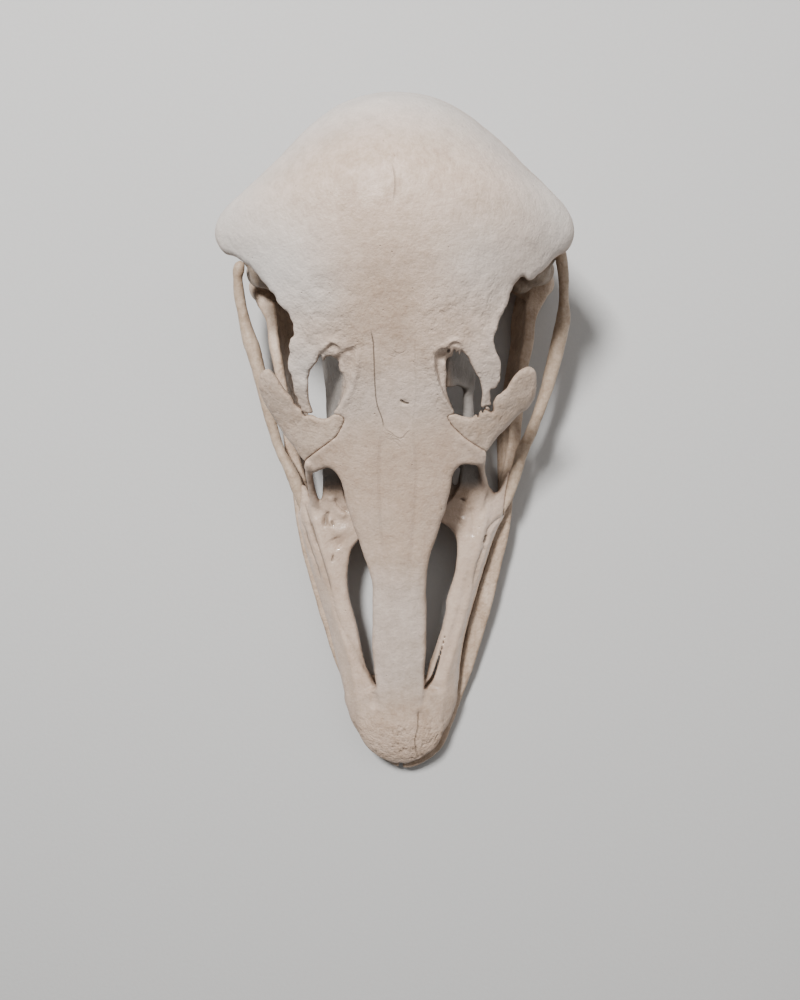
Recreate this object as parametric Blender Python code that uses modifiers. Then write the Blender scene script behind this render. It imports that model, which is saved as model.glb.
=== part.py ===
"""The skull of an ostrich with its lower jaw, lying on that jaw as it would on a table.

+X is the bird's left, -Y the way the beak points and +Z up. The origin is on the table, under the
middle of the skull. The bones are given in table units, of which the skull is 182 long.
"""

import math

import bmesh
import bpy
from mathutils import Euler, Matrix, Vector
import numpy as np

SKULL_LENGTH = 0.182  # metres, tip of the upper beak to the nape
UNIT = SKULL_LENGTH / 182.0  # one table unit, a millimetre at this size

# Puts the middle of the whole skull over the origin
MIDDLE = (-0.34, 0.63)

# Fused forms: the grid they are rebuilt on, and the triangles each kind of bone keeps
VOXEL = 0.95
SMOOTHING = 2
TRIANGLES = {
    "cranium": 5600,
    "mandible": 1700,
    "lacrimal": 330,
    "jugal": 190,
    "quadrate": 330,
    "pterygoid": 130,
}

COLOURS = {
    "cranium": (0.78, 0.72, 0.64, 1.0),
    "mandible": (0.72, 0.66, 0.57, 1.0),
    "lacrimal": (0.80, 0.75, 0.67, 1.0),
    "jugal": (0.76, 0.68, 0.55, 1.0),
    "quadrate": (0.66, 0.60, 0.52, 1.0),
    "pterygoid": (0.64, 0.58, 0.50, 1.0),
}
ROUGHNESS = 0.6

# The upper surface along the midline: y, height, half width there, how much lower the side lies
ROOF = [
    (-93, 7.0, 14.0, 3.0), (-91, 8.0, 14.0, 3.0), (-85, 11.0, 14.0, 4.6), (-76, 14.0, 14.6, 5.8),
    (-70, 15.8, 16.2, 6.7), (-66, 17.0, 16.8, 7.0), (-60, 18.8, 15.0, 6.0), (-40, 25.3, 11.0, 4.0),
    (-28, 29.5, 12.0, 3.8), (-20, 32.2, 14.0, 4.0), (-10, 36.0, 18.0, 4.5), (0, 40.3, 24.0, 6.0),
    (10, 45.2, 28.0, 6.4), (20, 51.2, 32.0, 5.8), (30, 58.0, 30.0, 6.4), (40, 64.2, 34.0, 12.5),
    (48, 68.4, 40.0, 18.5), (55, 71.0, 44.0, 22.0), (62, 72.3, 42.0, 22.0), (68, 71.6, 36.0, 21.5),
    (75, 68.6, 28.6, 19.2), (82, 62.0, 20.6, 12.6), (87, 54.5, 12.5, 5.0), (91, 46.0, 9.0, 3.0),
]
SQUARE_SHARE = 0.65  # of the side's drop, growing with the square of x, the rest with its fourth power
ROOF_REACH = 1.5  # how far the surface runs on past the half width before the outline trims it
ROOF_THICKNESS = 3.2
ROOF_ROWS = 90
ROOF_COLUMNS = 41
TRIM_DEPTH = (-5, 90)  # what trims the roof stands from below the whole skull to above it

# Plan outline of the upper surface, from the nape down one side to the beak's tip
ROOF_LEFT = [
    (0, 89.6), (8, 89.0), (15, 86.6), (22.5, 82.5), (30.7, 75.3), (36.7, 68.2), (41, 62.3), (43.4, 57.5),
    (43.7, 55), (42.8, 52.8), (38.4, 48.9), (35.5, 45.6), (31.2, 45.6), (28.7, 41), (25.4, 34), (24.7, 30),
    (26.2, 24), (25.9, 20.8), (24.3, 18.2), (24.2, 14.6), (22.5, 14), (21.4, 20.6), (19.3, 26), (16.8, 28),
    (13.8, 27.4), (13, 19), (12.9, 11.2), (14.6, 8), (17.4, 5.6), (20.4, 3), (22.8, 1), (23, -1.2),
    (16.8, -2.6), (14.7, -10), (12.1, -16.5), (8.9, -28), (8, -32.5), (7.9, -50), (7.4, -66.6), (16.3, -67),
    (14.3, -75.8), (11.4, -83), (7.1, -88.3), (2.8, -90.6), (0, -91),
]
ROOF_RIGHT = [
    (0, 89.6), (-5, 89.1), (-11.4, 87), (-18, 82), (-26, 75.7), (-31.8, 71), (-37.3, 65.5), (-41.4, 60.8),
    (-43.5, 56.2), (-43.4, 53.8), (-41.5, 51.8), (-37.6, 49.4), (-33.2, 46), (-29.4, 41.7), (-24.4, 35.2),
    (-23.5, 31), (-24.4, 24), (-24.3, 19.5), (-23, 15.4), (-21.7, 14.6), (-21.1, 18), (-19.2, 24.4),
    (-17, 27), (-12.4, 25.4), (-11.6, 20), (-12.2, 10.6), (-13.6, 7), (-17.2, 3.9), (-20.8, 1.5),
    (-22.3, 0.4), (-22.3, -1.2), (-17, -1.6), (-13.4, -8), (-12.8, -13.4), (-9, -27.3), (-7.3, -33),
    (-7, -40), (-6.8, -67), (-16.7, -67.4), (-14.4, -76), (-11.8, -82), (-8.4, -86), (-4, -89.7), (0, -91),
]
LACRIMAL_LEFT = [
    (13.7, 11.1), (15.3, 8.8), (18.1, 6.3), (20.9, 3.9), (23.4, 2), (26.8, 7), (29.3, 9.8), (34.3, 14.6),
    (35.7, 17.8), (35.9, 21), (34.9, 23.2), (33, 22.9), (27.8, 16.9), (24.9, 13.8), (22.1, 12.7),
    (19.1, 11.6), (16.7, 12.4),
]
LACRIMAL_RIGHT = [
    (-13.0, 10.2), (-14.3, 7.7), (-17.8, 4.8), (-21.3, 2.3), (-23.1, 1.3), (-27.8, 6.4), (-30.5, 9.9),
    (-33, 14), (-34.1, 18.4), (-33.4, 22), (-31.8, 22.7), (-30, 21), (-25.4, 15.2), (-22.6, 13),
    (-19.8, 11.6), (-16.1, 10.9),
]

# Rounded forms are balls, by centre, radii and tilt in degrees, or struts, by points and the radius
# at each. Those off the midline are given for the bird's left and mirrored for its right
BRAIN_BOX = ((0, 62, 45), (29, 26.5, 25), (0, 0, 0))
NAPE = ((0, 74, 56), (16, 11, 9), (0, 0, 0))
BASE_PLATE = ((0, 60, 22), (15, 16, 5.5), (0, 0, 0))
CONDYLE = ((0, 84, 27), (4, 4, 3.6), (0, 0, 0))
TEMPLE = ((18.5, 67.5, 45), (13, 15, 14.5), (0, 0, 0))
EAR_WING = ((24.5, 71, 33), (8.6, 4.4, 12.6), (8, -14, 20))
EYE_REAR_TIP = ((37, 55.5, 51.5), (7.5, 6, 3.2), (0, 34, 0))
EYE_REAR_BAR = ([(24, 52, 48), (33, 54, 49), (40, 55, 48)], [5, 3.6, 2.4])
BRAIN_CAVITY = ((0, 62, 46.5), (21.5, 20, 17.5), (0, 0, 0))
SPINE_HOLE = ([(0, 74, 38), (0, 94, 34)], [6.3, 6.6])
EYE_NERVE_HOLE = ([(-16, 38, 37), (16, 38, 37)], [3.4, 3.4])
EAR_HOLLOW = ((30, 61, 32), (6.5, 6, 6.5), (0, 0, 0))

BROW_MIDDLE = ((0.6, 21, 41), (5.2, 16, 7), (30, 0, 0))  # the thick bone between the brow openings
ROSTRUM = ([(0, 52, 24), (0, 30, 22), (0, 0, 18.5), (0, -18, 17)], [6.5, 4.6, 3, 1.6])
BEAK_TIP = ((0, -77, 10.5), (12.5, 11.5, 3.4), (8, 0, 0))
NOSE_PROP = ([(20.5, -1.5, 35), (21.5, -7, 27), (22.5, -13, 17)], [2.2, 1.5, 2.2])
PTERYGOID_SEAT = ([(3.5, 40, 22), (8, 36, 19.5), (10.6, 33.5, 18.5)], [3, 2.4, 2.2])

LACRIMAL_STRUT = ([(21, 7.5, 40), (23.5, 4, 31), (26.8, 1.5, 21)], [3.6, 2.4, 2.3])
LACRIMAL_HORN = ([(27, 12, 40.5), (33.4, 19.5, 42.6)], [1.8, 1.6])
QUADRATE_SHAFT = ([(31.5, 60, 38), (34.5, 56, 29), (37, 51, 20)], [2.8, 3.2, 4.2])
QUADRATE_PRONG = ([(35, 55, 27), (30, 49, 29), (25, 43, 30)], [3, 2.2, 1.5])
QUADRATE_CHEEK_PIN = ([(37, 51, 20), (39.9, 55.2, 23.4)], [2.8, 2.0])
QUADRATE_HINGE = ((36.5, 50, 18), (6.2, 4.2, 2.8), (0, 0, -20))
PTERYGOID = ([(29.4, 47.6, 19.6), (22, 40, 19.4), (13.6, 30.8, 18.6)], [1.7, 2.0, 1.5])

JAW_HINGE = ((35.4, 50, 9.6), (7.4, 5.8, 3.4), (0, 0, -16))
JAW_ANGLE = ((35.8, 51, 3.4), (2.7, 8.5, 4.0), (0, 0, 0))  # reaches down to the table
JAW_INNER_PRONG = ([(33, 50, 9), (28, 50.5, 9.5), (24.5, 51.5, 10.5)], [3, 2.4, 1.8])
JAW_REAR_PRONG = ([(36, 52, 8.5), (36, 57.5, 8.2), (35.4, 61, 9.4)], [3.4, 2.6, 1.8])

# The upper jaw's side bar, from the beak back to the cheek: inner edge, ridge and outer edge
SIDE_BAR_INNER_LEFT = [
    (7.6, -70, 13.6), (8.9, -60, 13.8), (11.9, -48, 14.5),
    (14.5, -38, 15.5), (16.1, -28, 16.3), (14.2, -19.5, 17),
]
SIDE_BAR_INNER_RIGHT = [
    (-8.2, -70, 13.6), (-11, -60, 13.8), (-13.4, -48, 14.6),
    (-14.6, -38, 15.5), (-14.2, -28, 16.3), (-11.4, -19.5, 17),
]
SIDE_BAR_RIDGE = [
    (11.5, -70, 13.2), (13.4, -60, 13.9), (16.4, -48, 14.8),
    (18.8, -38, 15.6), (21, -28, 16.4), (23, -18, 17),
]
SIDE_BAR_OUTER_LEFT = [
    (15.7, -70, 9.2), (17.1, -60, 9.6), (19.3, -47, 10.2),
    (22.4, -38, 10.8), (25.2, -28, 11.6), (28.6, -17, 13),
]
SIDE_BAR_OUTER_RIGHT = [
    (-16.4, -70, 9.2), (-18.4, -60, 9.6), (-21.3, -47, 10.2),
    (-23.8, -38, 10.8), (-26, -28, 11.6), (-28.2, -17, 13),
]
NOSE_PLATE_INNER = [(8.3, -25, 22.4), (10.5, -15, 23.6), (12, -3, 24.4)]
NOSE_PLATE_MIDDLE = [(13, -24, 18.8), (15.6, -14, 19.2), (17, -3, 19.6)]
NOSE_PLATE_OUTER = [(21, -22, 16.9), (23.5, -15, 16.9), (26, -9.5, 16.4)]
CHEEK_ROOT_MIDDLE = [(22.5, -20, 16.8), (25.5, -14, 16.8), (30.2, -8.2, 15.6)]
CHEEK_ROOT_OUTER = [(27.6, -20, 12.6), (29.8, -14, 13.2), (32.4, -8.4, 14.6)]
SIDE_BAR_EDGES = {
    1: (SIDE_BAR_INNER_LEFT, SIDE_BAR_OUTER_LEFT),
    -1: (SIDE_BAR_INNER_RIGHT, SIDE_BAR_OUTER_RIGHT),
}
SIDE_BAR_THICKNESS = 2.3

# The lower jaw's ramus from its rear end to the front: y, half breadth, top edge, bottom edge
RAMUS = [
    (50, 36.3, 12.5, -0.2), (44, 36.0, 13.5, -0.6), (36, 35.4, 15.0, -0.6), (26, 34.4, 15.6, -0.6),
    (10, 32.6, 13.4, -0.4), (-8, 30.8, 10.6, 0.6), (-20, 28.6, 9.0, 1.0), (-32, 25.9, 7.6, 0.8),
    (-44, 22.8, 6.6, 0.4), (-56, 19.3, 5.8, -0.2), (-68, 15.2, 5.1, -0.6), (-78, 11.0, 4.8, -0.6),
    (-86, 6.2, 4.7, -0.4), (-89.6, 0, 4.7, -0.2),
]
RAMUS_THICKNESS = 3.0
RAMUS_BULGE = 0.5  # how far its middle stands out past its top edge
RAMUS_TUCK = 0.6  # and how far its bottom edge lies inside it
JAW_YAW = math.radians(1.15)  # the lower jaw lies slightly askew, its tip to the bird's left
JAW_PIVOT = (0, 46)

# The cheek rod, from its suture with the upper jaw to the quadrate
CHEEK_ROD = [
    (32.9, -7.6, 14.8), (35.6, 4, 15.6), (39.8, 20, 18), (43.2, 33, 20.2),
    (45.1, 42, 22), (44.4, 51, 24), (42.6, 56, 25.6),
]
CHEEK_ROD_RADIUS = 1.5
RIGHT_CHEEK_INSET = 0.9  # how much nearer the middle the right cheek runs

# The palate, its struts and the plates in front of the eyes, each by two rails on the bird's left
BEAK_FLOOR = [(7, -70, 13.5), (5, -60, 13), (3.4, -48, 12.5)]
PALATE_INNER = [(3.6, -50, 12.5), (4.6, -30, 13), (5, -5, 14.5), (6, 20, 17), (9, 30, 18)]
PALATE_OUTER = [(6.4, -50, 13.5), (9.6, -30, 14.5), (11, -5, 16), (12, 18, 16), (13, 27, 17)]
EYE_PLATE_INNER = [(2, 10, 40), (3, 9, 30), (3, 7, 22)]
EYE_PLATE_OUTER = [(13.5, 15, 40), (14, 14, 31), (10, 11, 24)]
SMALL_SHEET = 2.2  # thickness of these plates

# The plates seen down through the openings in the brow: top and lower edge on each side
BROW_PLATE_TOP = {
    1: [(13.6, 30.5, 47), (13.2, 25, 45), (13.2, 19, 43)],
    -1: [(-12.6, 30.5, 47), (-12, 20, 44), (-12.2, 11, 40)],
}
BROW_PLATE_FOOT = {
    1: [(20.2, 30.5, 38), (20.4, 25, 36), (20.0, 19, 35)],
    -1: [(-19.2, 30.5, 36), (-18.2, 20, 33), (-17.8, 11, 32)],
}
BROW_STRUT = ([(18.6, 21, 35), (19.2, 16, 33), (17.6, 10.5, 31), (13.5, 12.5, 31)], [1.7, 1.5, 1.5, 1.5])

# Side view of the plate between the eyes: y, z
SEPTUM = [(-16, 17), (-12, 27), (0, 37), (12, 43), (28, 54), (44, 62), (46, 28), (30, 22), (0, 17)]
SEPTUM_THICKNESS = 4.2

# The floor of the lower jaw's tip, down its left edge and down its middle
JAW_FLOOR_EDGE = [(0, -90, 2.6), (5.6, -86, 1.4), (9.6, -78.5, 0.9), (11.8, -72, 0.8), (13.6, -65, 0.8)]
JAW_FLOOR_MIDDLE = [(0, -90, 2.6), (0, -84, 1.5), (0, -78, 1.2), (0, -72, 1.2), (0, -69, 1.2)]
JAW_FLOOR_THICKNESS = 2.6
TABLE = [(-60, -110), (60, -110), (60, 80), (-60, 80)]  # the lower jaw is cut flat where it meets the table
TABLE_THICKNESS = 12


def fresh_collection(name):
    collection = bpy.data.collections.new(name)
    bpy.context.scene.collection.children.link(collection)
    return collection


def on_side(points, side):
    """The points as they are for side 1, the bird's left, or mirrored for side -1."""
    return [(side * x, y, z) for x, y, z in points]


def on_cheek(points, side):
    """The points on one cheek: the right one lies a little nearer the middle."""
    inset = 0 if side == 1 else RIGHT_CHEEK_INSET
    return on_side([(x - inset, y, z) for x, y, z in points], side)


def smooth_line(points, count):
    """Catmull-Rom curve through the points, resampled to a number of points."""
    points = np.array(points, float)
    padded = np.vstack([2 * points[0] - points[1], points, 2 * points[-1] - points[-2]])
    places = np.linspace(0, len(points) - 1.000001, count)
    first = places.astype(int)
    t = (places - first)[:, None]
    a, b, c, d = (padded[first + k] for k in range(4))
    return 0.5 * (2 * b + (c - a) * t + (2 * a - 5 * b + 4 * c - d) * t**2 + (3 * b - a - 3 * c + d) * t**3)


def object_from(name, mesh, collection):
    made = bpy.data.objects.new(name, mesh)
    collection.objects.link(made)
    return made


def evaluated_mesh(made):
    """The object's mesh with its modifiers applied."""
    depsgraph = bpy.context.evaluated_depsgraph_get()
    depsgraph.update()
    return bpy.data.meshes.new_from_object(made.evaluated_get(depsgraph), depsgraph=depsgraph)


def solid_mesh(made):
    """Takes an object's finished mesh, welded and in world space, and removes the object."""
    mesh = evaluated_mesh(made)
    mesh.transform(made.matrix_world)
    bpy.data.objects.remove(made)
    shape = bmesh.new()
    shape.from_mesh(mesh)
    bmesh.ops.remove_doubles(shape, verts=shape.verts, dist=0.00001)
    bmesh.ops.recalc_face_normals(shape, faces=shape.faces)
    shape.to_mesh(mesh)
    shape.free()
    return mesh


def sheet(rails, thickness, along=24, across=9, offset=0.0):
    """A bone sheet lofted through rails, thickened by Solidify."""
    lines = [smooth_line(rail, along) for rail in rails]
    grid = [smooth_line([line[k] for line in lines], across) for k in range(along)]
    shape = bmesh.new()
    rows = [[shape.verts.new(Vector(point) * UNIT) for point in row] for row in grid]
    for near, far in zip(rows, rows[1:]):
        for k in range(across - 1):
            shape.faces.new((near[k], near[k + 1], far[k + 1], far[k]))
    mesh = bpy.data.meshes.new("sheet")
    shape.to_mesh(mesh)
    shape.free()
    made = object_from("sheet", mesh, bpy.context.scene.collection)
    solidify = made.modifiers.new("Thickness", "SOLIDIFY")
    solidify.thickness = thickness * UNIT
    solidify.offset = offset
    return solid_mesh(made)


def rod(points, radii, count=14):
    """A round strut whose radius changes along it."""
    line = smooth_line([(*point, radius) for point, radius in zip(points, radii)], count)
    curve = bpy.data.curves.new("rod", "CURVE")
    curve.dimensions = "3D"
    curve.bevel_depth = UNIT
    curve.bevel_resolution = 3
    curve.use_fill_caps = True
    spline = curve.splines.new("POLY")
    spline.points.add(count - 1)
    for point, (x, y, z, radius) in zip(spline.points, line):
        point.co = (x * UNIT, y * UNIT, z * UNIT, 1)
        point.radius = radius
    return solid_mesh(object_from("rod", curve, bpy.context.scene.collection))


def ball(centre, radii, tilt):
    """An ellipsoid, tilted by angles in degrees."""
    shape = bmesh.new()
    bmesh.ops.create_uvsphere(shape, u_segments=28, v_segments=18, radius=UNIT)
    turn = Euler([math.radians(angle) for angle in tilt]).to_matrix().to_4x4()
    place = Matrix.Translation(Vector(centre) * UNIT) @ turn @ Matrix.Diagonal((*radii, 1))
    bmesh.ops.transform(shape, matrix=place, verts=shape.verts)
    mesh = bpy.data.meshes.new("ball")
    shape.to_mesh(mesh)
    shape.free()
    return mesh


def side_ball(form, side):
    centre, radii, (roll, pitch, yaw) = form
    return ball(on_side([centre], side)[0], radii, (roll, pitch * side, yaw * side))


def side_rod(form, side, count=14):
    points, radii = form
    return rod(on_side(points, side), radii, count)


def prism(outline, low, high, upright=False):
    """A flat outline as thick as from low to high, along Z, or along X when it stands upright."""
    curve = bpy.data.curves.new("outline", "CURVE")
    curve.dimensions = "2D"
    curve.fill_mode = "BOTH"
    curve.extrude = (high - low) / 2 * UNIT
    spline = curve.splines.new("POLY")
    spline.points.add(len(outline) - 1)
    for point, (u, v) in zip(spline.points, outline):
        point.co = (u * UNIT, v * UNIT, 0, 1)
    spline.use_cyclic_u = True
    made = object_from("outline", curve, bpy.context.scene.collection)
    middle = (low + high) / 2 * UNIT
    if upright:
        made.matrix_world = Matrix(((0, 0, 1, middle), (1, 0, 0, 0), (0, 1, 0, 0), (0, 0, 0, 1)))
    else:
        made.matrix_world = Matrix.Translation((0, 0, middle))
    return solid_mesh(made)


def boolean(made, tool, operation):
    modifier = made.modifiers.new(operation.title(), "BOOLEAN")
    modifier.operation = operation
    modifier.solver = "EXACT"
    modifier.object = tool


def cutter_from(name, mesh):
    tool = object_from(name, mesh, cutters)
    tool.hide_render = True
    tool.display_type = "WIRE"
    tool.location = (MIDDLE[0] * UNIT, MIDDLE[1] * UNIT, 0)
    return tool


def roof_surface():
    """The whole upper surface as one sheet, before the plan outline trims it."""
    stations = smooth_line(ROOF, ROOF_ROWS)
    spread = np.linspace(-ROOF_REACH, ROOF_REACH, ROOF_COLUMNS)
    drop = SQUARE_SHARE * spread**2 + (1 - SQUARE_SHARE) * spread**4
    rails = [
        [(t * half, y, height - fall * d) for y, height, half, fall in stations]
        for t, d in zip(spread, drop)
    ]
    return sheet(rails, ROOF_THICKNESS, along=ROOF_ROWS, across=ROOF_COLUMNS, offset=-1.0)


def trimmed_roof(outline):
    """The part of the upper surface inside a plan outline."""
    made = object_from("roof", roof_surface(), bpy.context.scene.collection)
    tool = object_from("trim", prism(outline, *TRIM_DEPTH), bpy.context.scene.collection)
    boolean(made, tool, "INTERSECT")
    mesh = solid_mesh(made)
    bpy.data.objects.remove(tool)
    return mesh


def material_for(kind):
    if kind in bpy.data.materials:
        return bpy.data.materials[kind]
    material = bpy.data.materials.new(kind)
    material.use_nodes = True
    shader = material.node_tree.nodes["Principled BSDF"]
    shader.inputs["Base Color"].default_value = COLOURS[kind]
    shader.inputs["Roughness"].default_value = ROUGHNESS
    shader.inputs["Metallic"].default_value = 0.0
    return material


def fused_bone(name, kind, solids, holes=()):
    """One bone from overlapping solids: rebuilt on a voxel grid, cut, smoothed and thinned out."""
    shape = bmesh.new()
    for mesh in solids:
        shape.from_mesh(mesh)
    mesh = bpy.data.meshes.new(name)
    shape.to_mesh(mesh)
    shape.free()
    made = object_from(name, mesh, parts)
    mesh.materials.append(material_for(kind))
    made.location = (MIDDLE[0] * UNIT, MIDDLE[1] * UNIT, 0)
    remesh = made.modifiers.new("Fuse", "REMESH")
    remesh.mode = "VOXEL"
    remesh.voxel_size = VOXEL * UNIT
    for index, hole in enumerate(holes):
        boolean(made, cutter_from(f"{name}_hole_{index}", hole), "DIFFERENCE")
    if holes:
        again = made.modifiers.new("Fuse again", "REMESH")
        again.mode = "VOXEL"
        again.voxel_size = VOXEL * UNIT
    smooth = made.modifiers.new("Soften", "SMOOTH")
    smooth.factor = 0.5
    smooth.iterations = SMOOTHING
    quads = len(evaluated_mesh(made).polygons)
    thin = made.modifiers.new("Thin out", "DECIMATE")
    thin.ratio = min(1.0, TRIANGLES[kind] / (2 * quads))
    thin.use_collapse_triangulate = True
    return made


def braincase():
    """Brain box, condyle, base plate, ear wings and the tips behind the eyes."""
    solids = [ball(*form) for form in (BRAIN_BOX, CONDYLE, BASE_PLATE, NAPE)]
    for side in (1, -1):
        solids += [side_ball(form, side) for form in (TEMPLE, EAR_WING, EYE_REAR_TIP)]
        solids.append(side_rod(EYE_REAR_BAR, side))
    return solids


def nose_and_palate():
    """The plate between the eyes, the nasal props, the palate and the front of the beak."""
    solids = [
        prism(SEPTUM, -SEPTUM_THICKNESS / 2, SEPTUM_THICKNESS / 2, upright=True),
        ball(*BROW_MIDDLE),
        rod(*ROSTRUM),
        ball(*BEAK_TIP),
        sheet([on_side(BEAK_FLOOR, -1), BEAK_FLOOR], SMALL_SHEET),
        rod(*BROW_STRUT),
    ]
    for side in (1, -1):
        inner, outer = SIDE_BAR_EDGES[side]
        ridge, cheek_inner, cheek_middle = (
            on_side(rail, side) for rail in (SIDE_BAR_RIDGE, NOSE_PLATE_OUTER, CHEEK_ROOT_MIDDLE)
        )
        nose_inner, nose_middle = (on_side(rail, side) for rail in (NOSE_PLATE_INNER, NOSE_PLATE_MIDDLE))
        cheek_outer = on_cheek(CHEEK_ROOT_OUTER, side)
        solids += [
            sheet([inner, ridge, outer], SIDE_BAR_THICKNESS, offset=-side),
            sheet([cheek_inner, cheek_middle, cheek_outer], SIDE_BAR_THICKNESS, offset=-side),
            sheet([nose_inner, nose_middle, cheek_inner], SMALL_SHEET),
            sheet([on_side(PALATE_INNER, side), on_side(PALATE_OUTER, side)], SMALL_SHEET),
            sheet([on_side(EYE_PLATE_INNER, side), on_side(EYE_PLATE_OUTER, side)], SMALL_SHEET),
            sheet([BROW_PLATE_TOP[side], BROW_PLATE_FOOT[side]], SMALL_SHEET),
            side_rod(NOSE_PROP, side),
            side_rod(PTERYGOID_SEAT, side),
        ]
    return solids


def brain_holes():
    """The brain's cavity with its way out, the nerve openings to the eyes and the ear hollows."""
    holes = [ball(*BRAIN_CAVITY), rod(*SPINE_HOLE, count=4), rod(*EYE_NERVE_HOLE, count=4)]
    return holes + [side_ball(EAR_HOLLOW, side) for side in (1, -1)]


def cranium():
    solids = [trimmed_roof(ROOF_LEFT + ROOF_RIGHT[-2:0:-1])]
    return fused_bone("cranium", "cranium", solids + braincase() + nose_and_palate(), brain_holes())


def lacrimal(name, outline, side):
    """The horned plate in front of the eye, with the strut that goes down from it."""
    strut, horn = side_rod(LACRIMAL_STRUT, side), side_rod(LACRIMAL_HORN, side, count=4)
    return fused_bone(name, "lacrimal", [trimmed_roof(outline), strut, horn])


def jugal_arch(name, side):
    points = on_cheek(CHEEK_ROD, side)
    radii = [CHEEK_ROD_RADIUS] * (len(points) - 1) + [CHEEK_ROD_RADIUS + 0.2]
    return fused_bone(name, "jugal", [rod(points, radii, count=26)])


def quadrate(name, side):
    """The loose bone between braincase, cheek rod and lower jaw."""
    solids = [
        side_rod(QUADRATE_SHAFT, side),
        side_rod(QUADRATE_PRONG, side),
        side_rod(QUADRATE_CHEEK_PIN, side, count=6),
        side_ball(QUADRATE_HINGE, side),
    ]
    return fused_bone(name, "quadrate", solids)


def pterygoid(name, side):
    return fused_bone(name, "pterygoid", [side_rod(PTERYGOID, side)])


def mandible():
    """The lower jaw: two thin rami that meet in a shallow scoop, with the hinge cups at the rear."""
    solids = []
    for side in (1, -1):
        top = [(side * x, y, high) for y, x, high, low in RAMUS]
        middle = [(side * (x + RAMUS_BULGE), y, (high + low) / 2) for y, x, high, low in RAMUS]
        bottom = [(side * (x - RAMUS_TUCK if x else 0), y, low) for y, x, high, low in RAMUS]
        solids += [
            sheet([top, middle, bottom], RAMUS_THICKNESS, along=60, across=7),
            side_ball(JAW_HINGE, side),
            side_rod(JAW_INNER_PRONG, side),
            side_rod(JAW_REAR_PRONG, side),
            side_ball(JAW_ANGLE, side),
        ]
    rails = [on_side(JAW_FLOOR_EDGE, -1), JAW_FLOOR_MIDDLE, JAW_FLOOR_EDGE]
    solids.append(sheet(rails, JAW_FLOOR_THICKNESS, across=11))
    turn = Matrix.Rotation(JAW_YAW, 4, "Z")
    pivot = Vector((*JAW_PIVOT, 0)) * UNIT
    for mesh in solids:
        mesh.transform(Matrix.Translation(pivot) @ turn @ Matrix.Translation(-pivot))
    made = fused_bone("mandible", "mandible", solids)
    table = prism(TABLE, -TABLE_THICKNESS, 0)
    boolean(made, cutter_from("table_top", table), "DIFFERENCE")


for old in list(bpy.data.objects):
    bpy.data.objects.remove(old, do_unlink=True)
parts = fresh_collection("ostrich_skull")
cutters = fresh_collection("cutters")

cranium()
lacrimal("lacrimal_left", LACRIMAL_LEFT, 1)
lacrimal("lacrimal_right", LACRIMAL_RIGHT, -1)
for side_name, side_sign in (("left", 1), ("right", -1)):
    jugal_arch(f"jugal_arch_{side_name}", side_sign)
    quadrate(f"quadrate_{side_name}", side_sign)
    pterygoid(f"pterygoid_{side_name}", side_sign)
mandible()
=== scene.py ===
import math

import bpy
import numpy as np
from mathutils import Euler, Matrix, Vector


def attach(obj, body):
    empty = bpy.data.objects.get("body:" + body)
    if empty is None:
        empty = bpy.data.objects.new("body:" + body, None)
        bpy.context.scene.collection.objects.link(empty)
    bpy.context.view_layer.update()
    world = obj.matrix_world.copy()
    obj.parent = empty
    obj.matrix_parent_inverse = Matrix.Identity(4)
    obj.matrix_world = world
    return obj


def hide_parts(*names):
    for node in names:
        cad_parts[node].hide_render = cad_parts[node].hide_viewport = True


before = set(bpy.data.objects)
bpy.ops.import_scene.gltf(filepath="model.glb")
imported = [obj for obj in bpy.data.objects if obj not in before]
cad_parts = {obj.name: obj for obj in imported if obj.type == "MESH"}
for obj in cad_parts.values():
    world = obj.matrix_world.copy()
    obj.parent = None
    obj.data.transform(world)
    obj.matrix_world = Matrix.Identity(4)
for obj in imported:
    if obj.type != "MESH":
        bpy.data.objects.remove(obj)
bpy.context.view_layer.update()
print("frame loaded")

# Every bone is given in millimetres, +X to the bird's left, -Y towards the beak's tip, +Z up
skull = {
    "unit": 0.001,  # metres in one millimetre
    "shift": (-0.34, 0.63, 0.0),  # puts the middle of the skull over the origin
    "cell": 0.4,  # of the clay in which the bones are modelled
    "spare": 4.0,  # how far around a shape the clay knows about it
    "seed": 11,
    "top": 76,  # above all of it
}
cell = skull["cell"]
farAway = 6.0  # what empty clay says of its distance
farFromSeams = 5.0
veryFar = 1e3  # before anything near has been found
latticeSize = 32
bothSides = ((1, "left"), (-1, "right"))
cellCorners = [(i, j, k) for i in (0, 1) for j in (0, 1) for k in (0, 1)]


# Lines and outlines

def smoothLine(points, count, pull=0.5):
    # a curve through the points; a smaller pull keeps it closer to straight runs
    points = np.array(points, float)
    padded = np.concatenate([2 * points[:1] - points[1:2], points, 2 * points[-1:] - points[-2:-1]])
    places = np.linspace(0, len(points) - 1.000001, count)
    first = places.astype(int)
    t = (places - first).reshape(-1, *([1] * (points.ndim - 1)))
    a, b, c, d = (padded[first + k] for k in range(4))
    leave, arrive = pull * (c - a), pull * (d - b)
    return b + leave * t + (3 * (c - b) - 2 * leave - arrive) * t**2 + (2 * (b - c) + leave + arrive) * t**3


def smoothOutline(points, steps=4):
    # a closed curve through the points
    wrapped = [*points[-2:], *points, *points[:3]]
    line = smoothLine(wrapped, (len(wrapped) - 1) * steps + 1, pull=0.36)
    return line[2 * steps:(2 + len(points)) * steps]


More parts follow.
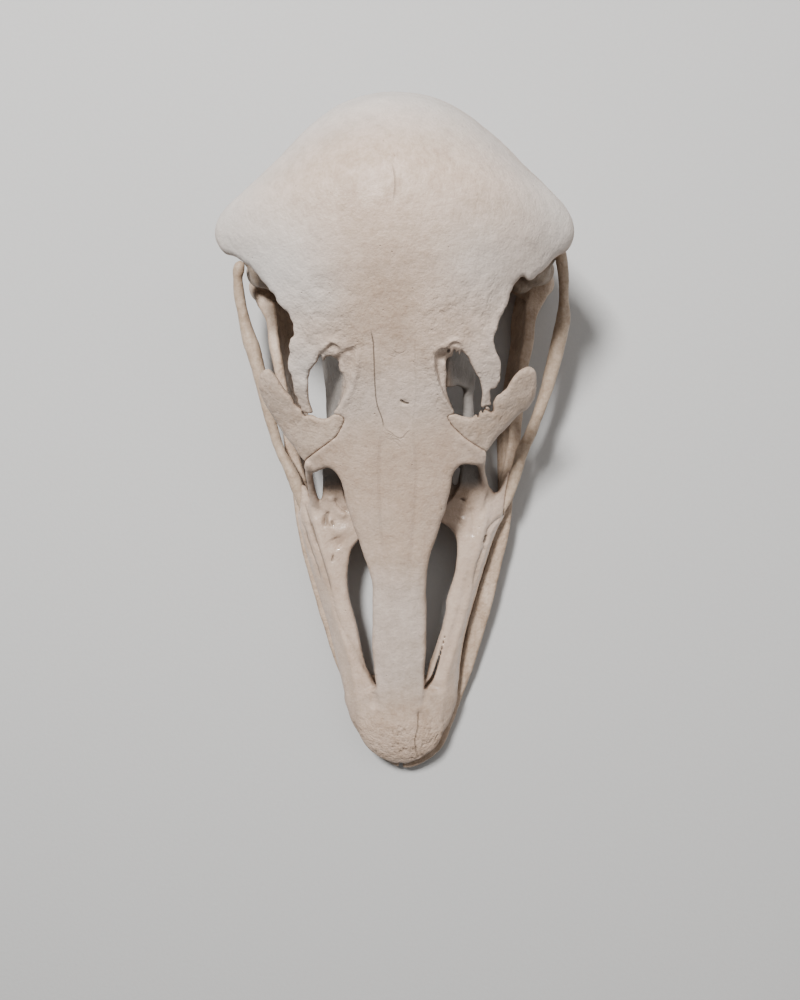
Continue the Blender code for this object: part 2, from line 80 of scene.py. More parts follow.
def lineDistance(points, x, y):
    # how far each place is from a line in plan, and how far along the line that is, in points
    near = np.full(np.broadcast_shapes(np.shape(x), np.shape(y)), veryFar, np.float32)
    place = np.zeros_like(near)
    for k, (a, b) in enumerate(zip(points, points[1:])):
        run = np.subtract(b[:2], a[:2])
        t = ((x - a[0]) * run[0] + (y - a[1]) * run[1]) / max(run @ run, 1e-9)
        t = np.clip(t, 0, 1)
        distance = np.hypot(x - a[0] - t * run[0], y - a[1] - t * run[1])
        closer = distance < near
        near = np.where(closer, distance, near)
        place = np.where(closer, k + t, place)
    return near.astype(np.float32), place


def insideOutline(points, x, y):
    inside = np.zeros(np.broadcast_shapes(np.shape(x), np.shape(y)), bool)
    for a, b in zip(points, np.roll(points, -1, axis=0)):
        if a[1] != b[1]:
            crossing = a[0] + (b[0] - a[0]) * (y - a[1]) / (b[1] - a[1])
            inside ^= ((a[1] > y) != (b[1] > y)) & (x < crossing)
    return inside


def outlineDistance(points, x, y):
    # negative inside the outline
    points = np.asarray(points, float)
    near = lineDistance(np.vstack([points, points[:1]]), x, y)[0]
    return np.where(insideOutline(points, x, y), -near, near)


def rise(value, start, stop):
    # 0 before start, 1 after stop, smooth between them
    t = np.clip((value - start) / (stop - start), 0, 1)
    return t * t * (3 - 2 * t)


def spotted(spots, x, y):
    # the sum of soft round spots, each with its x, y, radius and strength
    total = 0
    for px, py, radius, strength in spots:
        total = total + strength * np.exp(-((x - px)**2 + (y - py)**2) / radius**2)
    return total


def readBetween(values, low, part):
    # what lies between the eight corners of a cell; part is how far along each axis
    total = 0
    for corner in cellCorners:
        weight = 1
        for t, far in zip(part, corner):
            weight = weight * (t if far else 1 - t)
        total = total + weight * values[tuple(start + far for start, far in zip(low, corner))]
    return total


def runDistance(a, b, x, y, z):
    # the squared distance from the run between two points, and how far along it that is
    run = b[:3] - a[:3]
    t = ((x - a[0]) * run[0] + (y - a[1]) * run[1] + (z - a[2]) * run[2]) / max(run @ run, 1e-9)
    t = np.clip(t, 0, 1)
    return (x - a[0] - t * run[0])**2 + (y - a[1] - t * run[1])**2 + (z - a[2] - t * run[2])**2, t


class Lumps:
    # smooth random ups and downs between -1 and 1, of about the given size in millimetres
    def __init__(self, size, seed):
        self.size = size
        heights = np.random.default_rng(skull["seed"] + seed).uniform(-1, 1, [latticeSize] * 3)
        self.lattice = np.pad(heights.astype(np.float32), (0, 1), "wrap")  # it meets itself at its edges

    def at(self, x, y, z=0.0):
        low, part = [], []
        for value in (x, y, z):
            scaled = np.asarray(value, np.float32) / self.size + 100
            start = np.floor(scaled)
            t = scaled - start
            low.append(start.astype(int) % latticeSize)
            part.append(t * t * (3 - 2 * t))
        return readBetween(self.lattice, low, part)


# Clay: a block of distances, negative inside the bone

def joinSoft(a, b, soft):
    if np.isscalar(soft) and soft <= 0:
        return np.minimum(a, b)
    near = np.maximum(soft - np.abs(a - b), 0) / soft
    return np.minimum(a, b) - near * near * (soft / 4)


def keepBoth(a, b, soft):
    return -joinSoft(-a, -b, soft)


class Shape:
    def __init__(self, low, high, measure):
        self.low, self.high, self.measure = np.array(low, float), np.array(high, float), measure


class Clay:
    def __init__(self, low, high):
        self.first = np.floor(np.array(low) / cell).astype(int)
        self.count = np.ceil(np.array(high) / cell).astype(int) - self.first + 1
        self.field = np.full(self.count, farAway, np.float32)

    @classmethod
    def beside(cls, box, side):
        # for a bone of either side; the box is that of the bird's left one
        (near, *low), (far, *high) = box
        left, right = (near, far) if side > 0 else (-far, -near)
        return cls((left, *low), (right, *high))

    def window(self, low, high):
        start = np.clip(np.floor(low / cell).astype(int) - self.first, 0, self.count)
        stop = np.clip(np.ceil(high / cell).astype(int) + 1 - self.first, 0, self.count)
        spans = tuple(slice(a, b) for a, b in zip(start, stop))
        steps = (self.first[k] + np.arange(start[k], stop[k]) for k in range(3))
        x, y, z = ((step * cell).astype(np.float32) for step in steps)
        return spans, x[:, None, None], y[None, :, None], z[None, None, :]

    def add(self, shape, soft=1.0):
        spans, x, y, z = self.window(shape.low - skull["spare"], shape.high + skull["spare"])
        self.field[spans] = joinSoft(self.field[spans], shape.measure(x, y, z), soft)

    def cut(self, shape, soft=0.6):
        spans, x, y, z = self.window(shape.low - skull["spare"], shape.high + skull["spare"])
        self.field[spans] = keepBoth(self.field[spans], -shape.measure(x, y, z), soft)

    def keepOff(self, other, gap):
        # takes away what lies nearer than the gap to another bone
        start = np.maximum(self.first, other.first)
        stop = np.minimum(self.first + self.count, other.first + other.count)
        if (stop <= start).any():
            return
        mine = tuple(slice(a, b) for a, b in zip(start - self.first, stop - self.first))
        its = tuple(slice(a, b) for a, b in zip(start - other.first, stop - other.first))
        self.field[mine] = keepBoth(self.field[mine], gap - other.field[its], 0.3)

    def keepAbove(self, height):
        z = ((self.first[2] + np.arange(self.count[2])) * cell)[None, None, :]
        self.field = np.maximum(self.field, height - z).astype(np.float32)

    def laid(self, line, count=20):
        # a line in plan, laid on the highest bone under it
        line = smoothLine(line, count)
        where = np.clip(np.round(line[:, :2] / cell).astype(int) - self.first[:2], 0, self.count[:2] - 1)
        levels = (self.first[2] + np.arange(self.count[2])) * cell
        columns = self.field[where[:, 0], where[:, 1]] < 0
        over = np.flatnonzero(columns.any(1))
        tops = levels[self.count[2] - 1 - columns[over, ::-1].argmax(1)]
        return np.stack([line[:, 0], line[:, 1], np.interp(np.arange(count), over, tops)], 1)

    def press(self, line, width, depth):
        # a groove along a line, or a ridge where the depth is negative
        spans, x, y, z = self.window(line.min(0) - 3 * width, line.max(0) + 3 * width)
        near = np.full(np.broadcast_shapes(x.shape, y.shape, z.shape), veryFar, np.float32)
        place = np.zeros_like(near)
        for k, (a, b) in enumerate(zip(line, line[1:])):
            away, t = runDistance(a, b, x, y, z)
            place = np.where(away < near, (k + t) / (len(line) - 1), place)
            near = np.minimum(near, away)
        fade = np.clip(np.minimum(place, 1 - place) / 0.15, 0.15, 1)
        self.field[spans] += (depth * fade * np.exp(-near / width**2)).astype(np.float32)

    def sample(self, points):
        # the distances at points, read between the cells
        scaled = points / cell - self.first
        low = np.clip(np.floor(scaled).astype(int), 0, self.count - 2)
        return readBetween(self.field, low.T, np.clip(scaled - low, 0, 1).T)

    def skin(self):
        # points and four-sided faces on the surface
        field = self.field
        inside = field < 0
        filled = np.zeros(self.count - 1, np.uint8)
        for i, j, k in cellCorners:
            filled += inside[i:self.count[0] - 1 + i, j:self.count[1] - 1 + j, k:self.count[2] - 1 + k]
        mixed = (filled > 0) & (filled < 8)
        number = np.full(filled.shape, -1, np.int64)
        place = np.argwhere(mixed)
        number[mixed] = np.arange(len(place))
        total = np.zeros((len(place), 3))
        crossings = np.zeros(len(place))
        for start in cellCorners:
            for axis in range(3):
                if start[axis] == 1:
                    continue
                stop = tuple(1 if k == axis else start[k] for k in range(3))
                a = field[tuple((place + start).T)]
                b = field[tuple((place + stop).T)]
                cross = (a < 0) != (b < 0)
                t = np.where(cross, a / np.where(cross, a - b, 1), 0)
                for k in range(3):
                    total[:, k] += np.where(cross, start[k] + (t if k == axis else 0), 0)
                crossings += cross
        points = (place + total / crossings[:, None] + self.first) * cell
        quads = []
        for axis in range(3):
            before = tuple(slice(0, -1) if k == axis else slice(1, -1) for k in range(3))
            after = tuple(slice(1, None) if k == axis else slice(1, -1) for k in range(3))
            for outward in (True, False):
                bone, air = (before, after) if outward else (after, before)
                change = inside[bone] & ~inside[air]
                spot = np.argwhere(change)
                spot += [0 if k == axis else 1 for k in range(3)]
                u, v = np.eye(3, dtype=int)[(axis + 1) % 3], np.eye(3, dtype=int)[(axis + 2) % 3]
                ring = [spot - u - v, spot - v, spot, spot - u]
                faces = np.stack([number[tuple(corner.T)] for corner in ring], 1)
                quads.append(faces if outward else faces[:, ::-1])
        return points, np.concatenate(quads)

    def settle(self, points):
        # moves points onto the surface between the cells, in two passes
        step = 0.5 * cell
        for again in range(2):
            value = self.sample(points)
            slope = np.stack([
                (self.sample(points + step * side) - self.sample(points - step * side)) / (2 * step)
                for side in np.eye(3)], 1)
            size = np.maximum((slope * slope).sum(1), 0.05)
            points = points - slope * np.clip(value, -cell, cell)[:, None] / size[:, None]
        return points


# Shapes to add to the clay or to cut from it

def ball(centre, radii, tilt=(0, 0, 0)):
    turn = np.array(Euler([math.radians(angle) for angle in tilt]).to_matrix())
    reach = np.sqrt((turn**2) @ (np.array(radii, float)**2))

    def measure(x, y, z):
        x, y, z = x - centre[0], y - centre[1], z - centre[2]
        near, slope = 0, 0
        for k, radius in enumerate(radii):
            part = (turn[0][k] * x + turn[1][k] * y + turn[2][k] * z) / radius
            near = near + part * part
            slope = slope + (part / radius)**2
        near = np.sqrt(near)
        return (near * (near - 1) / np.sqrt(slope + 1e-9)).astype(np.float32)
    return Shape(centre - reach, centre + reach, measure)


def rod(points, radii, count=12):
    line = smoothLine([(*point, radius) for point, radius in zip(points, radii)], count)
    widest = max(radii)

    def measure(x, y, z):
        near = veryFar
        for a, b in zip(line, line[1:]):
            away, t = runDistance(a, b, x, y, z)
            near = np.minimum(near, np.sqrt(away) - a[3] - t * (b[3] - a[3]))
        return near.astype(np.float32)
    return Shape(line[:, :3].min(0) - widest, line[:, :3].max(0) + widest, measure)


def cast(outline, top, thickness, edge=1.0, ragged=None):
    # a plate of bone under a surface given in plan, inside an outline
    outline = smoothOutline(outline)

    def measure(x, y, z):
        x, y = x[:, :, 0], y[:, :, 0]
        plan = outlineDistance(outline, x, y)
        if ragged:
            plan = plan + ragged(x, y)
        height = top(x, y, plan)
        thick = thickness(x, y, plan) if callable(thickness) else thickness
        alongX, alongY = np.gradient(height, cell)
        lean = 1 / np.sqrt(1 + np.clip(alongX**2 + alongY**2, 0, 12))
        half = np.broadcast_to(thick / 2, plan.shape)[:, :, None]
        upper = (z - height[:, :, None]) * lean[:, :, None]
        soft = edge(x, y)[:, :, None] if callable(edge) else edge
        return keepBoth(np.abs(upper + half) - half, plan[:, :, None], soft).astype(np.float32)
    low, high = outline.min(0), outline.max(0)
    return Shape((*low, 0), (*high, skull["top"]), measure)


def sheet(rails, half, side=1, sink=True, across=7):
    # a sheet through rails that run along Y; its upper face lies on them when it is sunk
    lines = [smoothLine([(side * x, y, z) for x, y, z in rail], 40) for rail in rails]
    lines = [line[np.argsort(line[:, 1])] for line in lines]
    start, stop = max(line[0, 1] for line in lines), min(line[-1, 1] for line in lines)
    everything = np.concatenate(lines)

    def measure(x, y, z):
        rows = y.ravel()
        knots = np.array([[np.interp(rows, line[:, 1], line[:, k]) for k in (0, 2)] for line in lines])
        section = smoothLine(knots, across)
        near = veryFar
        drop = half if sink else 0
        for a, b in zip(section, section[1:]):
            ax, az = a[0][None, :, None], a[1][None, :, None] - drop
            runX, runZ = (b - a)[0][None, :, None], (b - a)[1][None, :, None]
            t = np.clip(((x - ax) * runX + (z - az) * runZ) / (runX**2 + runZ**2 + 1e-9), 0, 1)
            near = np.minimum(near, np.hypot(x - ax - t * runX, z - az - t * runZ))
        caps = np.maximum(start - y, y - stop)
        return keepBoth(near - half, caps, 0.8).astype(np.float32)
    return Shape(everything.min(0) - half, everything.max(0) + half, measure)


def within(shape, outline, edge=0.8):
    # as much of a shape as lies inside an outline given in plan
    outline = smoothOutline(outline)

    def measure(x, y, z):
        plan = outlineDistance(outline, x[:, :, 0], y[:, :, 0])
        return keepBoth(shape.measure(x, y, z), plan[:, :, None], edge).astype(np.float32)
    low, high = shape.low.copy(), shape.high.copy()
    low[:2], high[:2] = np.maximum(low[:2], outline.min(0)), np.minimum(high[:2], outline.max(0))
    return Shape(low, high, measure)


def upright(outline, half, edge):
    # a plate that stands along Y in the middle; half its thickness may depend on the place
    outline = smoothOutline(outline)

    def measure(x, y, z):
        plan = outlineDistance(outline, y[0], z[0])[None]
        thick = half(y, z, plan) if callable(half) else half
        return keepBoth(np.abs(x) - thick, plan, edge).astype(np.float32)
    return Shape((-4, *outline.min(0)), (4, *outline.max(0)), measure)


def slot(points, half, low, high):
    # a narrow cut straight down along a line in plan; half its width may change from start to end
    line = smoothLine(points, 24)
    first, last = (half, half) if np.isscalar(half) else half

    def measure(x, y, z):
        near, place = lineDistance(line, x[:, :, 0], y[:, :, 0])
        wide = first + (last - first) * place / (len(line) - 1)
        return np.maximum((near - wide)[:, :, None], np.abs(z - (low + high) / 2) - (high - low) / 2)
    return Shape((*line.min(0), low), (*line.max(0), high), measure)


def mirrored(points, side):
    return [(side * point[0], *point[1:]) for point in points]


def form(first, sizes, extra=None, side=1):
    # a rod through a list of points or a ball round one point, as it stands on the given side;
    # what comes extra is the rod's number of steps or the ball's tilt
    if isinstance(first, list):
        return rod(mirrored(first, side), sizes, extra or 12)
    across, forward, up = extra or (0, 0, 0)
    return ball((side * first[0], *first[1:]), sizes, (across, side * forward, side * up))


def addForms(clay, forms, side=1):
    for *given, soft in forms:
        clay.add(form(*given, side=side), soft)


def cutForms(clay, forms, side=1):
    for *given, soft in forms:
        clay.cut(form(*given, side=side), soft)


# The upper surface of the skull

roof = {
    "line": [  # y, height on the midline, half width, how much lower the side lies there
        (-93, 7, 14, 3), (-91, 8, 14, 3), (-85, 11, 14, 4.6), (-76, 14, 14.6, 5.8),
        (-70, 15.8, 16.2, 6.7), (-66, 17, 16.8, 7), (-60, 18.8, 15, 6), (-40, 25.3, 11, 4),
        (-28, 29.5, 12, 3.8), (-20, 32.2, 14, 4), (-10, 36, 18, 4.5), (0, 40.3, 24, 6),
        (10, 45.2, 28, 6.4), (20, 51.2, 32, 5.8), (30, 58, 30, 6.4), (40, 64.2, 34, 12.5),
        (48, 68.4, 40, 18.5), (55, 71, 44, 22), (62, 72.3, 42, 22), (68, 71.6, 36, 21.5),
        (75, 68.6, 28.6, 19.2), (82, 62, 20.6, 12.6), (87, 54.5, 12.5, 5), (91, 46, 9, 3),
    ],
    "squareShare": 0.65,
    "thickness": 3.2,
    "rimThickness": 1.7,  # at the thin edges over the eyes
    "browLumps": (0.28, 0.12),  # heights of the coarser and the finer ones on the brows
    "rimLumps": (0.4, 0.55),  # and their depths in its ragged rim
    "seamHollow": (0.2, 0.45),  # share of a seam's depth, and how far it hollows the bone around it
    "round": 1.3,  # how soft its rim is
    "brittle": 0.55,  # round the openings over the nose
    "sharp": 0.3,  # and where the lacrimals lie against it
    "left": [
        (0, 89.6), (8, 89), (15, 86.4), (22, 81.8), (29.9, 74.6), (36.3, 67.9), (41, 62.3),
        (43.4, 57.5), (44, 55), (43.3, 53.3), (42, 51.6), (40.4, 50.7), (38.9, 49.4), (36.9, 46.9),
        (35.5, 45.4), (34, 44.2), (32.6, 43.9), (31, 44.3), (29.3, 42.4), (28.4, 40.6), (28.2, 39),
        (26.5, 36), (25.8, 33.6), (24.8, 31), (24.7, 29), (25, 27.4), (26.1, 25.6), (26.6, 23),
        (26.3, 20.5), (25.4, 18.7), (24.2, 18.4), (24, 17.2), (24.7, 14.6), (24.3, 13.2), (22.8, 13.6),
        (21.8, 13.3), (22.1, 15.8), (22.1, 18.2), (21.8, 19.8), (21.1, 21.3), (20.2, 22.6),
        (19.3, 24.2), (18.6, 25.5), (17.7, 26.6), (16.9, 27.2), (16.4, 26.3), (15.9, 27.3),
        (15.5, 26.5), (15.2, 27.6), (14.7, 26.3), (13.9, 26), (13.2, 25.2), (13.2, 22.4), (13.1, 19.5),
        (13.6, 16.7), (14.6, 14.3), (15.2, 12.6), (13.5, 11.8), (14.7, 9.4), (16.7, 7.4), (19.3, 5.3),
        (22.4, 3.5), (23.5, 2.6), (23.5, 1), (23.1, -0.8), (20.9, -0.7), (18.8, -0.4), (17, -0.6),
        (15.7, -1.9), (14.8, -3.6), (14.3, -6.2), (13.9, -8.6), (12.9, -13.2), (11.8, -16),
        (10.8, -19.9), (8.9, -25.4), (7.9, -31), (7.7, -41), (7.6, -53), (7.2, -64.6), (13, -66.4),
        (16.2, -69), (15.2, -73.5), (13.3, -78), (10.1, -82.4), (6.2, -86.9), (2.7, -89.3),
        (0.9, -89.7), (-0.1, -88.9),
    ],
    "right": [
        (0, 89.6), (-5, 89), (-11.2, 86.5), (-17.4, 81.3), (-24.6, 74.5), (-30.6, 69.6), (-36.6, 64.8),
        (-41.2, 60.4), (-43.4, 56.4), (-43.2, 54.2), (-41.5, 51.9), (-39.3, 51), (-36.4, 49.1),
        (-33.7, 47), (-32.1, 45.9), (-30.7, 44), (-29.2, 42.3), (-27.5, 40.6), (-26.9, 38.6),
        (-25.2, 36.7), (-24.3, 35.3), (-23.7, 33.2), (-23.6, 31), (-24.5, 30.3), (-24.8, 28),
        (-25.5, 25.2), (-25.6, 23.1), (-25, 20.7), (-24.9, 17.4), (-24.1, 16.4), (-24.2, 15.2),
        (-23.4, 13.2), (-21.8, 12.5), (-20.6, 12.4), (-21, 14.2), (-21.4, 16.2), (-21.3, 18.6),
        (-21, 21), (-20.3, 22.9), (-19.3, 24), (-18.3, 25.1), (-17.4, 26.9), (-17, 26.2), (-16.7, 24.9),
        (-16.1, 26.1), (-14.8, 26.3), (-13.3, 25.6), (-12.8, 24.9), (-13.1, 24.2), (-12.9, 22.8),
        (-12.1, 22.1), (-11.9, 21.4), (-11.8, 19.4), (-12.5, 17), (-13.7, 14.3), (-15, 12.6),
        (-13.6, 12.2), (-12.4, 11), (-13.4, 8.9), (-14.8, 6.8), (-17.1, 5), (-19.4, 3.5), (-21.4, 2.1),
        (-23, 1.1), (-24, 0), (-24.4, -1.7), (-22, -2.8), (-20.2, -2.1), (-17.9, -1.5), (-16.5, -2),
        (-15.5, -3.1), (-14.5, -4.9), (-13.9, -7.3), (-13.4, -11), (-12.6, -13.6), (-11.9, -16.1),
        (-11.3, -18.6), (-10.2, -21.4), (-9, -26.1), (-7.8, -30), (-7.1, -33.6), (-7.1, -42),
        (-7.5, -53), (-7, -62), (-7, -65.4), (-12.6, -67.4), (-16.7, -70), (-15.8, -74), (-14.3, -78.3),
        (-11.4, -82.1), (-8.3, -85.7), (-4.1, -88.7), (-1.4, -89.6), (0, -91),
    ],
}

# Marks on the upper surface. A seam is a fine line, its last two numbers its width and depth
marks = {
    "seams": [
        ([(1.5, 66.6), (2.1, 62.4), (1.6, 58.2)], 0.14, 0.35),
        ([(-4.6, 32.4), (-4.1, 28), (-4.2, 22), (-4, 15.8), (-2.9, 11.4), (-2.3, 8.6)], 0.11, 0.8),
        ([(6.2, 31.6), (5.7, 25.1), (5.9, 18), (5.2, 12), (4.6, 8.4)], 0.2, 0.14),
        ([(-2.1, 8.6), (-0.6, 7.6), (0.6, 6.5), (2, 6.3), (3.3, 7.6), (4.7, 8.6)], 0.18, 0.3),
        ([(-2, 6.4), (0.2, 5.4), (1.4, 4.4), (2.2, 3.2)], 0.16, 0.16),
        ([(1.9, 15.9), (2.9, 15.2), (4, 14.9)], 0.25, 1),
        ([(-3, 8), (-3.9, 2), (-4.2, -6), (-4.2, -16), (-3.7, -26)], 0.35, 0.16),
        ([(4.9, 8.2), (5.3, 2), (5.5, -5), (4.6, -17), (3.6, -27)], 0.35, 0.12),
        ([(5.4, -71.4), (5.2, -74.4), (4.9, -77.4), (4.2, -80.9), (4.8, -87.2)], 0.22, 0.6),
        ([(0.4, 27.6), (1.9, 26.6), (3.4, 27.2)], 0.12, 0.25),
        ([(-0.6, 26.4), (1.2, 25.8), (2.6, 26)], 0.12, 0.2),
    ],
    "swells": [  # x, y, radius and height, as the bumps
        (-21, 44, 9, 0.7), (20, 44, 9, 0.7), (0, 38, 9, -0.7), (0, 26, 6, -0.3), (0, 62, 16, 0.4),
    ],
    "bumps": [
        (1.8, 62.6, 1, 0.22), (-36.6, 65.6, 0.8, -0.35), (11.8, 46.3, 0.9, -0.22),
        (3.6, 51.8, 0.9, -0.2), (-0.2, 38.3, 1.3, -0.25), (23.6, 33.4, 0.7, -0.25),
        (-10.5, 36.4, 2, 0.3), (-17, 32.5, 1.6, 0.3), (-14.4, 30.2, 1.5, -0.25), (19.6, 32.4, 1.5, 0.3),
        (20.8, 29.6, 1.4, -0.22), (22.6, 22.5, 1.7, 0.28), (22, 26.6, 1.3, -0.2),
        (-22.2, 29, 1.5, 0.22), (-21.2, 21, 1.3, -0.2), (2.7, 15.3, 0.5, -0.5), (1, -24.6, 1.8, 0.16),
        (5.4, -72.4, 0.7, -0.55), (5.2, -74.4, 0.6, -0.4), (14, 28.2, 0.5, 0.35),
        (15.3, 28.4, 0.5, 0.35), (16.2, 28.1, 0.45, 0.4), (17, 27.8, 0.5, 0.3), (13.5, 26.3, 0.5, 0.45),
        (-14.3, 27.4, 0.5, 0.4), (-13.2, 26.8, 0.5, 0.45), (-15.6, 27.4, 0.5, 0.3),
        (-12.4, 24.4, 0.5, 0.4), (-12.2, 22.9, 0.45, 0.4), (-10.6, 24.6, 0.9, -0.2),
        (-19.4, 29.4, 0.7, -0.25), (-7.4, -77.5, 1.6, 0.2),
    ],
    "ridges": [  # a soft line, its width and height
        ([(10.4, 26.7), (10.2, 24.6), (10.5, 22.1), (11.3, 19.1), (12.5, 16.4), (13.9, 14.2),
          (15.2, 12.9)], 0.5, 0.5),
        ([(10.4, 26.7), (11.9, 28.1), (12.9, 28), (14.1, 29.1), (14.9, 29.5), (16, 29.4), (17.2, 28.4)],
          0.45, 0.45),
        ([(-7.4, 28.8), (-8, 24.7), (-8.9, 21.8), (-9.8, 18.5), (-11.5, 15.8), (-12.6, 13.8)], 0.6,
          0.5),
        ([(-17.3, 27.2), (-15.6, 28.4), (-14.4, 29.4), (-13.6, 29.3), (-12.8, 28.9), (-12, 27.9)], 0.45,
          0.4),
        ([(-12.1, 26.8), (-10.9, 26.6), (-9.6, 26)], 0.4, 0.3),
        ([(-15, 6.4), (-19, 3.4), (-22.6, 0.2)], 0.9, 0.35),
        ([(15.2, 7.2), (19, 4.4), (22.8, 0.8)], 0.9, 0.35),
        ([(-1.2, 20), (-1.8, 6), (-1.6, -14)], 2.2, 0.12),
        ([(-3.2, 7), (-4.1, -4), (-4.2, -16), (-3.8, -30), (-3.4, -44)], 1.2, -0.38),
        ([(5.1, 7), (5.5, -5), (4.6, -17), (3.8, -30), (3.4, -42)], 1.1, -0.28),
        ([(5.3, -70.5), (5.1, -75), (4.8, -77.4), (4.2, -80.9), (4.8, -87.8)], 0.6, -0.4),
    ],
    "sunk": [  # an outline, how deep it lies and over what breadth it slopes down
        ([(10.3, 26.7), (10.2, 24.6), (10.5, 22.1), (11.3, 19.1), (12.5, 16.4), (13.9, 14.2),
          (15.6, 12.5), (18, 14), (18, 20), (16.4, 26), (13, 27.4)], 1.9, 0.9),
        ([(10.6, 26.7), (11.9, 28), (12.9, 27.9), (14.1, 29), (14.9, 29.4), (16, 29.3), (17.3, 28.2),
          (17.8, 26), (15, 24.2), (12, 25)], 0.75, 0.5),
        ([(-17.3, 27.1), (-15.6, 28.3), (-14.4, 29.3), (-13.6, 29.2), (-12.8, 28.8), (-12, 27.8),
          (-11.7, 25), (-13, 22), (-16, 23), (-17.6, 25.4)], 0.7, 0.5),
        ([(-8.2, 28.4), (-8.6, 24.6), (-9.5, 21.6), (-10.3, 18.6), (-11.9, 16), (-13.2, 14), (-16, 15),
          (-16, 24), (-12, 27.6)], 1.2, 1.1),
        ([(-8.9, -66.6), (-6.3, -66.2), (-5.5, -71.4), (-6.5, -73.6), (-8.8, -70.4)], 0.7, 0.9),
        ([(6.5, -65.4), (8.8, -66.2), (7.8, -70.4), (5.6, -74)], 0.5, 1),
    ],
    "plate": [  # the bone that shows between the frontals
        (-4.4, 33.6), (-4.1, 24), (-4, 15.8), (-2.2, 8.4), (0.4, 7), (2, 6.2), (3.4, 7.6), (4.9, 9),
        (5.7, 16), (5.8, 25), (6.3, 33.6),
    ],
    "plateDrop": 0.3,
}
roofStations = smoothLine(roof["line"], 240)
fineLumps, tinyLumps = Lumps(3.2, 2), Lumps(1.3, 3)


def plainRoof(x, y):
    height, half, fall = (np.interp(y, roofStations[:, 0], roofStations[:, k]) for k in (1, 2, 3))
    t = x / half
    return height - fall * (roof["squareShare"] * t**2 + (1 - roof["squareShare"]) * t**4)


def roofRelief(x, y):
    relief = spotted(marks["swells"] + marks["bumps"], x, y)
    for line, width, height in marks["ridges"]:
        near, place = lineDistance(smoothLine(line, 16), x, y)
        fade = np.clip(np.minimum(place, 15 - place) / 3, 0, 1)
        relief = relief + height * np.exp(-(near / width)**2) * fade
    share, breadth = roof["seamHollow"]
    for line, width, depth in marks["seams"]:
        near, place = lineDistance(smoothLine(line, 12), x, y)
        fade = np.clip(np.minimum(place, 11 - place) / 2, 0, 1)
        relief = relief - share * depth * np.exp(-(near / breadth)**2) * fade
    plate = outlineDistance(smoothOutline(marks["plate"]), x, y)
    relief = relief - marks["plateDrop"] * rise(-plate, 0, 1.4) * (1 - rise(y, 26, 33))
    for outline, depth, slope in marks["sunk"]:
        relief = relief - depth * rise(-outlineDistance(smoothOutline(outline), x, y), 0, slope)
    brow = rise(y, 12, 24) * (1 - rise(y, 38, 48)) * rise(np.abs(x), 9, 16)
    coarse, fine = roof["browLumps"]
    return relief + coarse * brow * fineLumps.at(x, y) + fine * brow * tinyLumps.at(x, y)


def roofTop(x, y, plan=None):
    return plainRoof(x, y) + roofRelief(x, y)


def raggedRoof(x, y):
    brow = rise(y, 13.5, 18) * (1 - rise(y, 44, 54))
    inner = (1 - rise(np.abs(x), 21.9, 23)) * (1 - rise(y, 27.4, 29))
    coarse, fine = roof["rimLumps"]
    rough = coarse * fineLumps.at(x, y, 9) + fine * tinyLumps.at(x, y, 5)
    return rough * (0.08 + 0.55 * brow * (1 - 0.8 * inner))


def roofThickness(x, y, plan):
    brow = rise(y, 8, 16) * (1 - rise(y, 44, 52))
    thin = brow * (1 - rise(-plan, 0, 7))
    return roof["thickness"] + (roof["rimThickness"] - roof["thickness"]) * thin


def roofEdge(x, y):
    # how round its rim is: sharp where another bone lies against it
    beside = rise(np.abs(x), 11, 13) * rise(y, -1, 1) * (1 - rise(y, 12, 14))
    brow = rise(y, 11, 15) * (1 - rise(y, 36, 46))
    soft = roof["round"] + (roof["brittle"] - roof["round"]) * brow
    return soft + (roof["sharp"] - soft) * beside


def addRoof(clay):
    outline = roof["left"] + roof["right"][-2:0:-1]
    clay.add(cast(outline, roofTop, roofThickness, edge=roofEdge, ragged=raggedRoof), 0)


gaps = {  # ragged cracks between the roof and the lacrimals, in plan
    "lines": [
        [(21.2, 11.8), (21.7, 14), (22.3, 13.5), (22.4, 12.7), (22.7, 14.1), (24, 14.3), (24.4, 13.6),
         (24.6, 15.2), (24.3, 15.8), (24.9, 16.6)],
        [(-23.2, 12.8), (-22.7, 12.1), (-22.3, 12.5), (-20.2, 12.6)],
        [(-25.2, 15.4), (-24.4, 14.7), (-23.5, 14.1)],
    ],
    "half": 0.22,
    "heights": (40, 60),
    "pits": [(13.8, 27.4, 0.38), (-12.1, 21.6, 0.35)],  # small holes right through, x, y and radius
    "pitHeights": (48, 66),
}


def cutGaps(clay):
    for line in gaps["lines"]:
        clay.cut(slot(line, gaps["half"], *gaps["heights"]), 0.1)
    for x, y, radius in gaps["pits"]:
        clay.cut(rod([(x, y, z) for z in gaps["pitHeights"]], [radius] * 2, count=2), 0.1)


# The brain box and what hangs below it

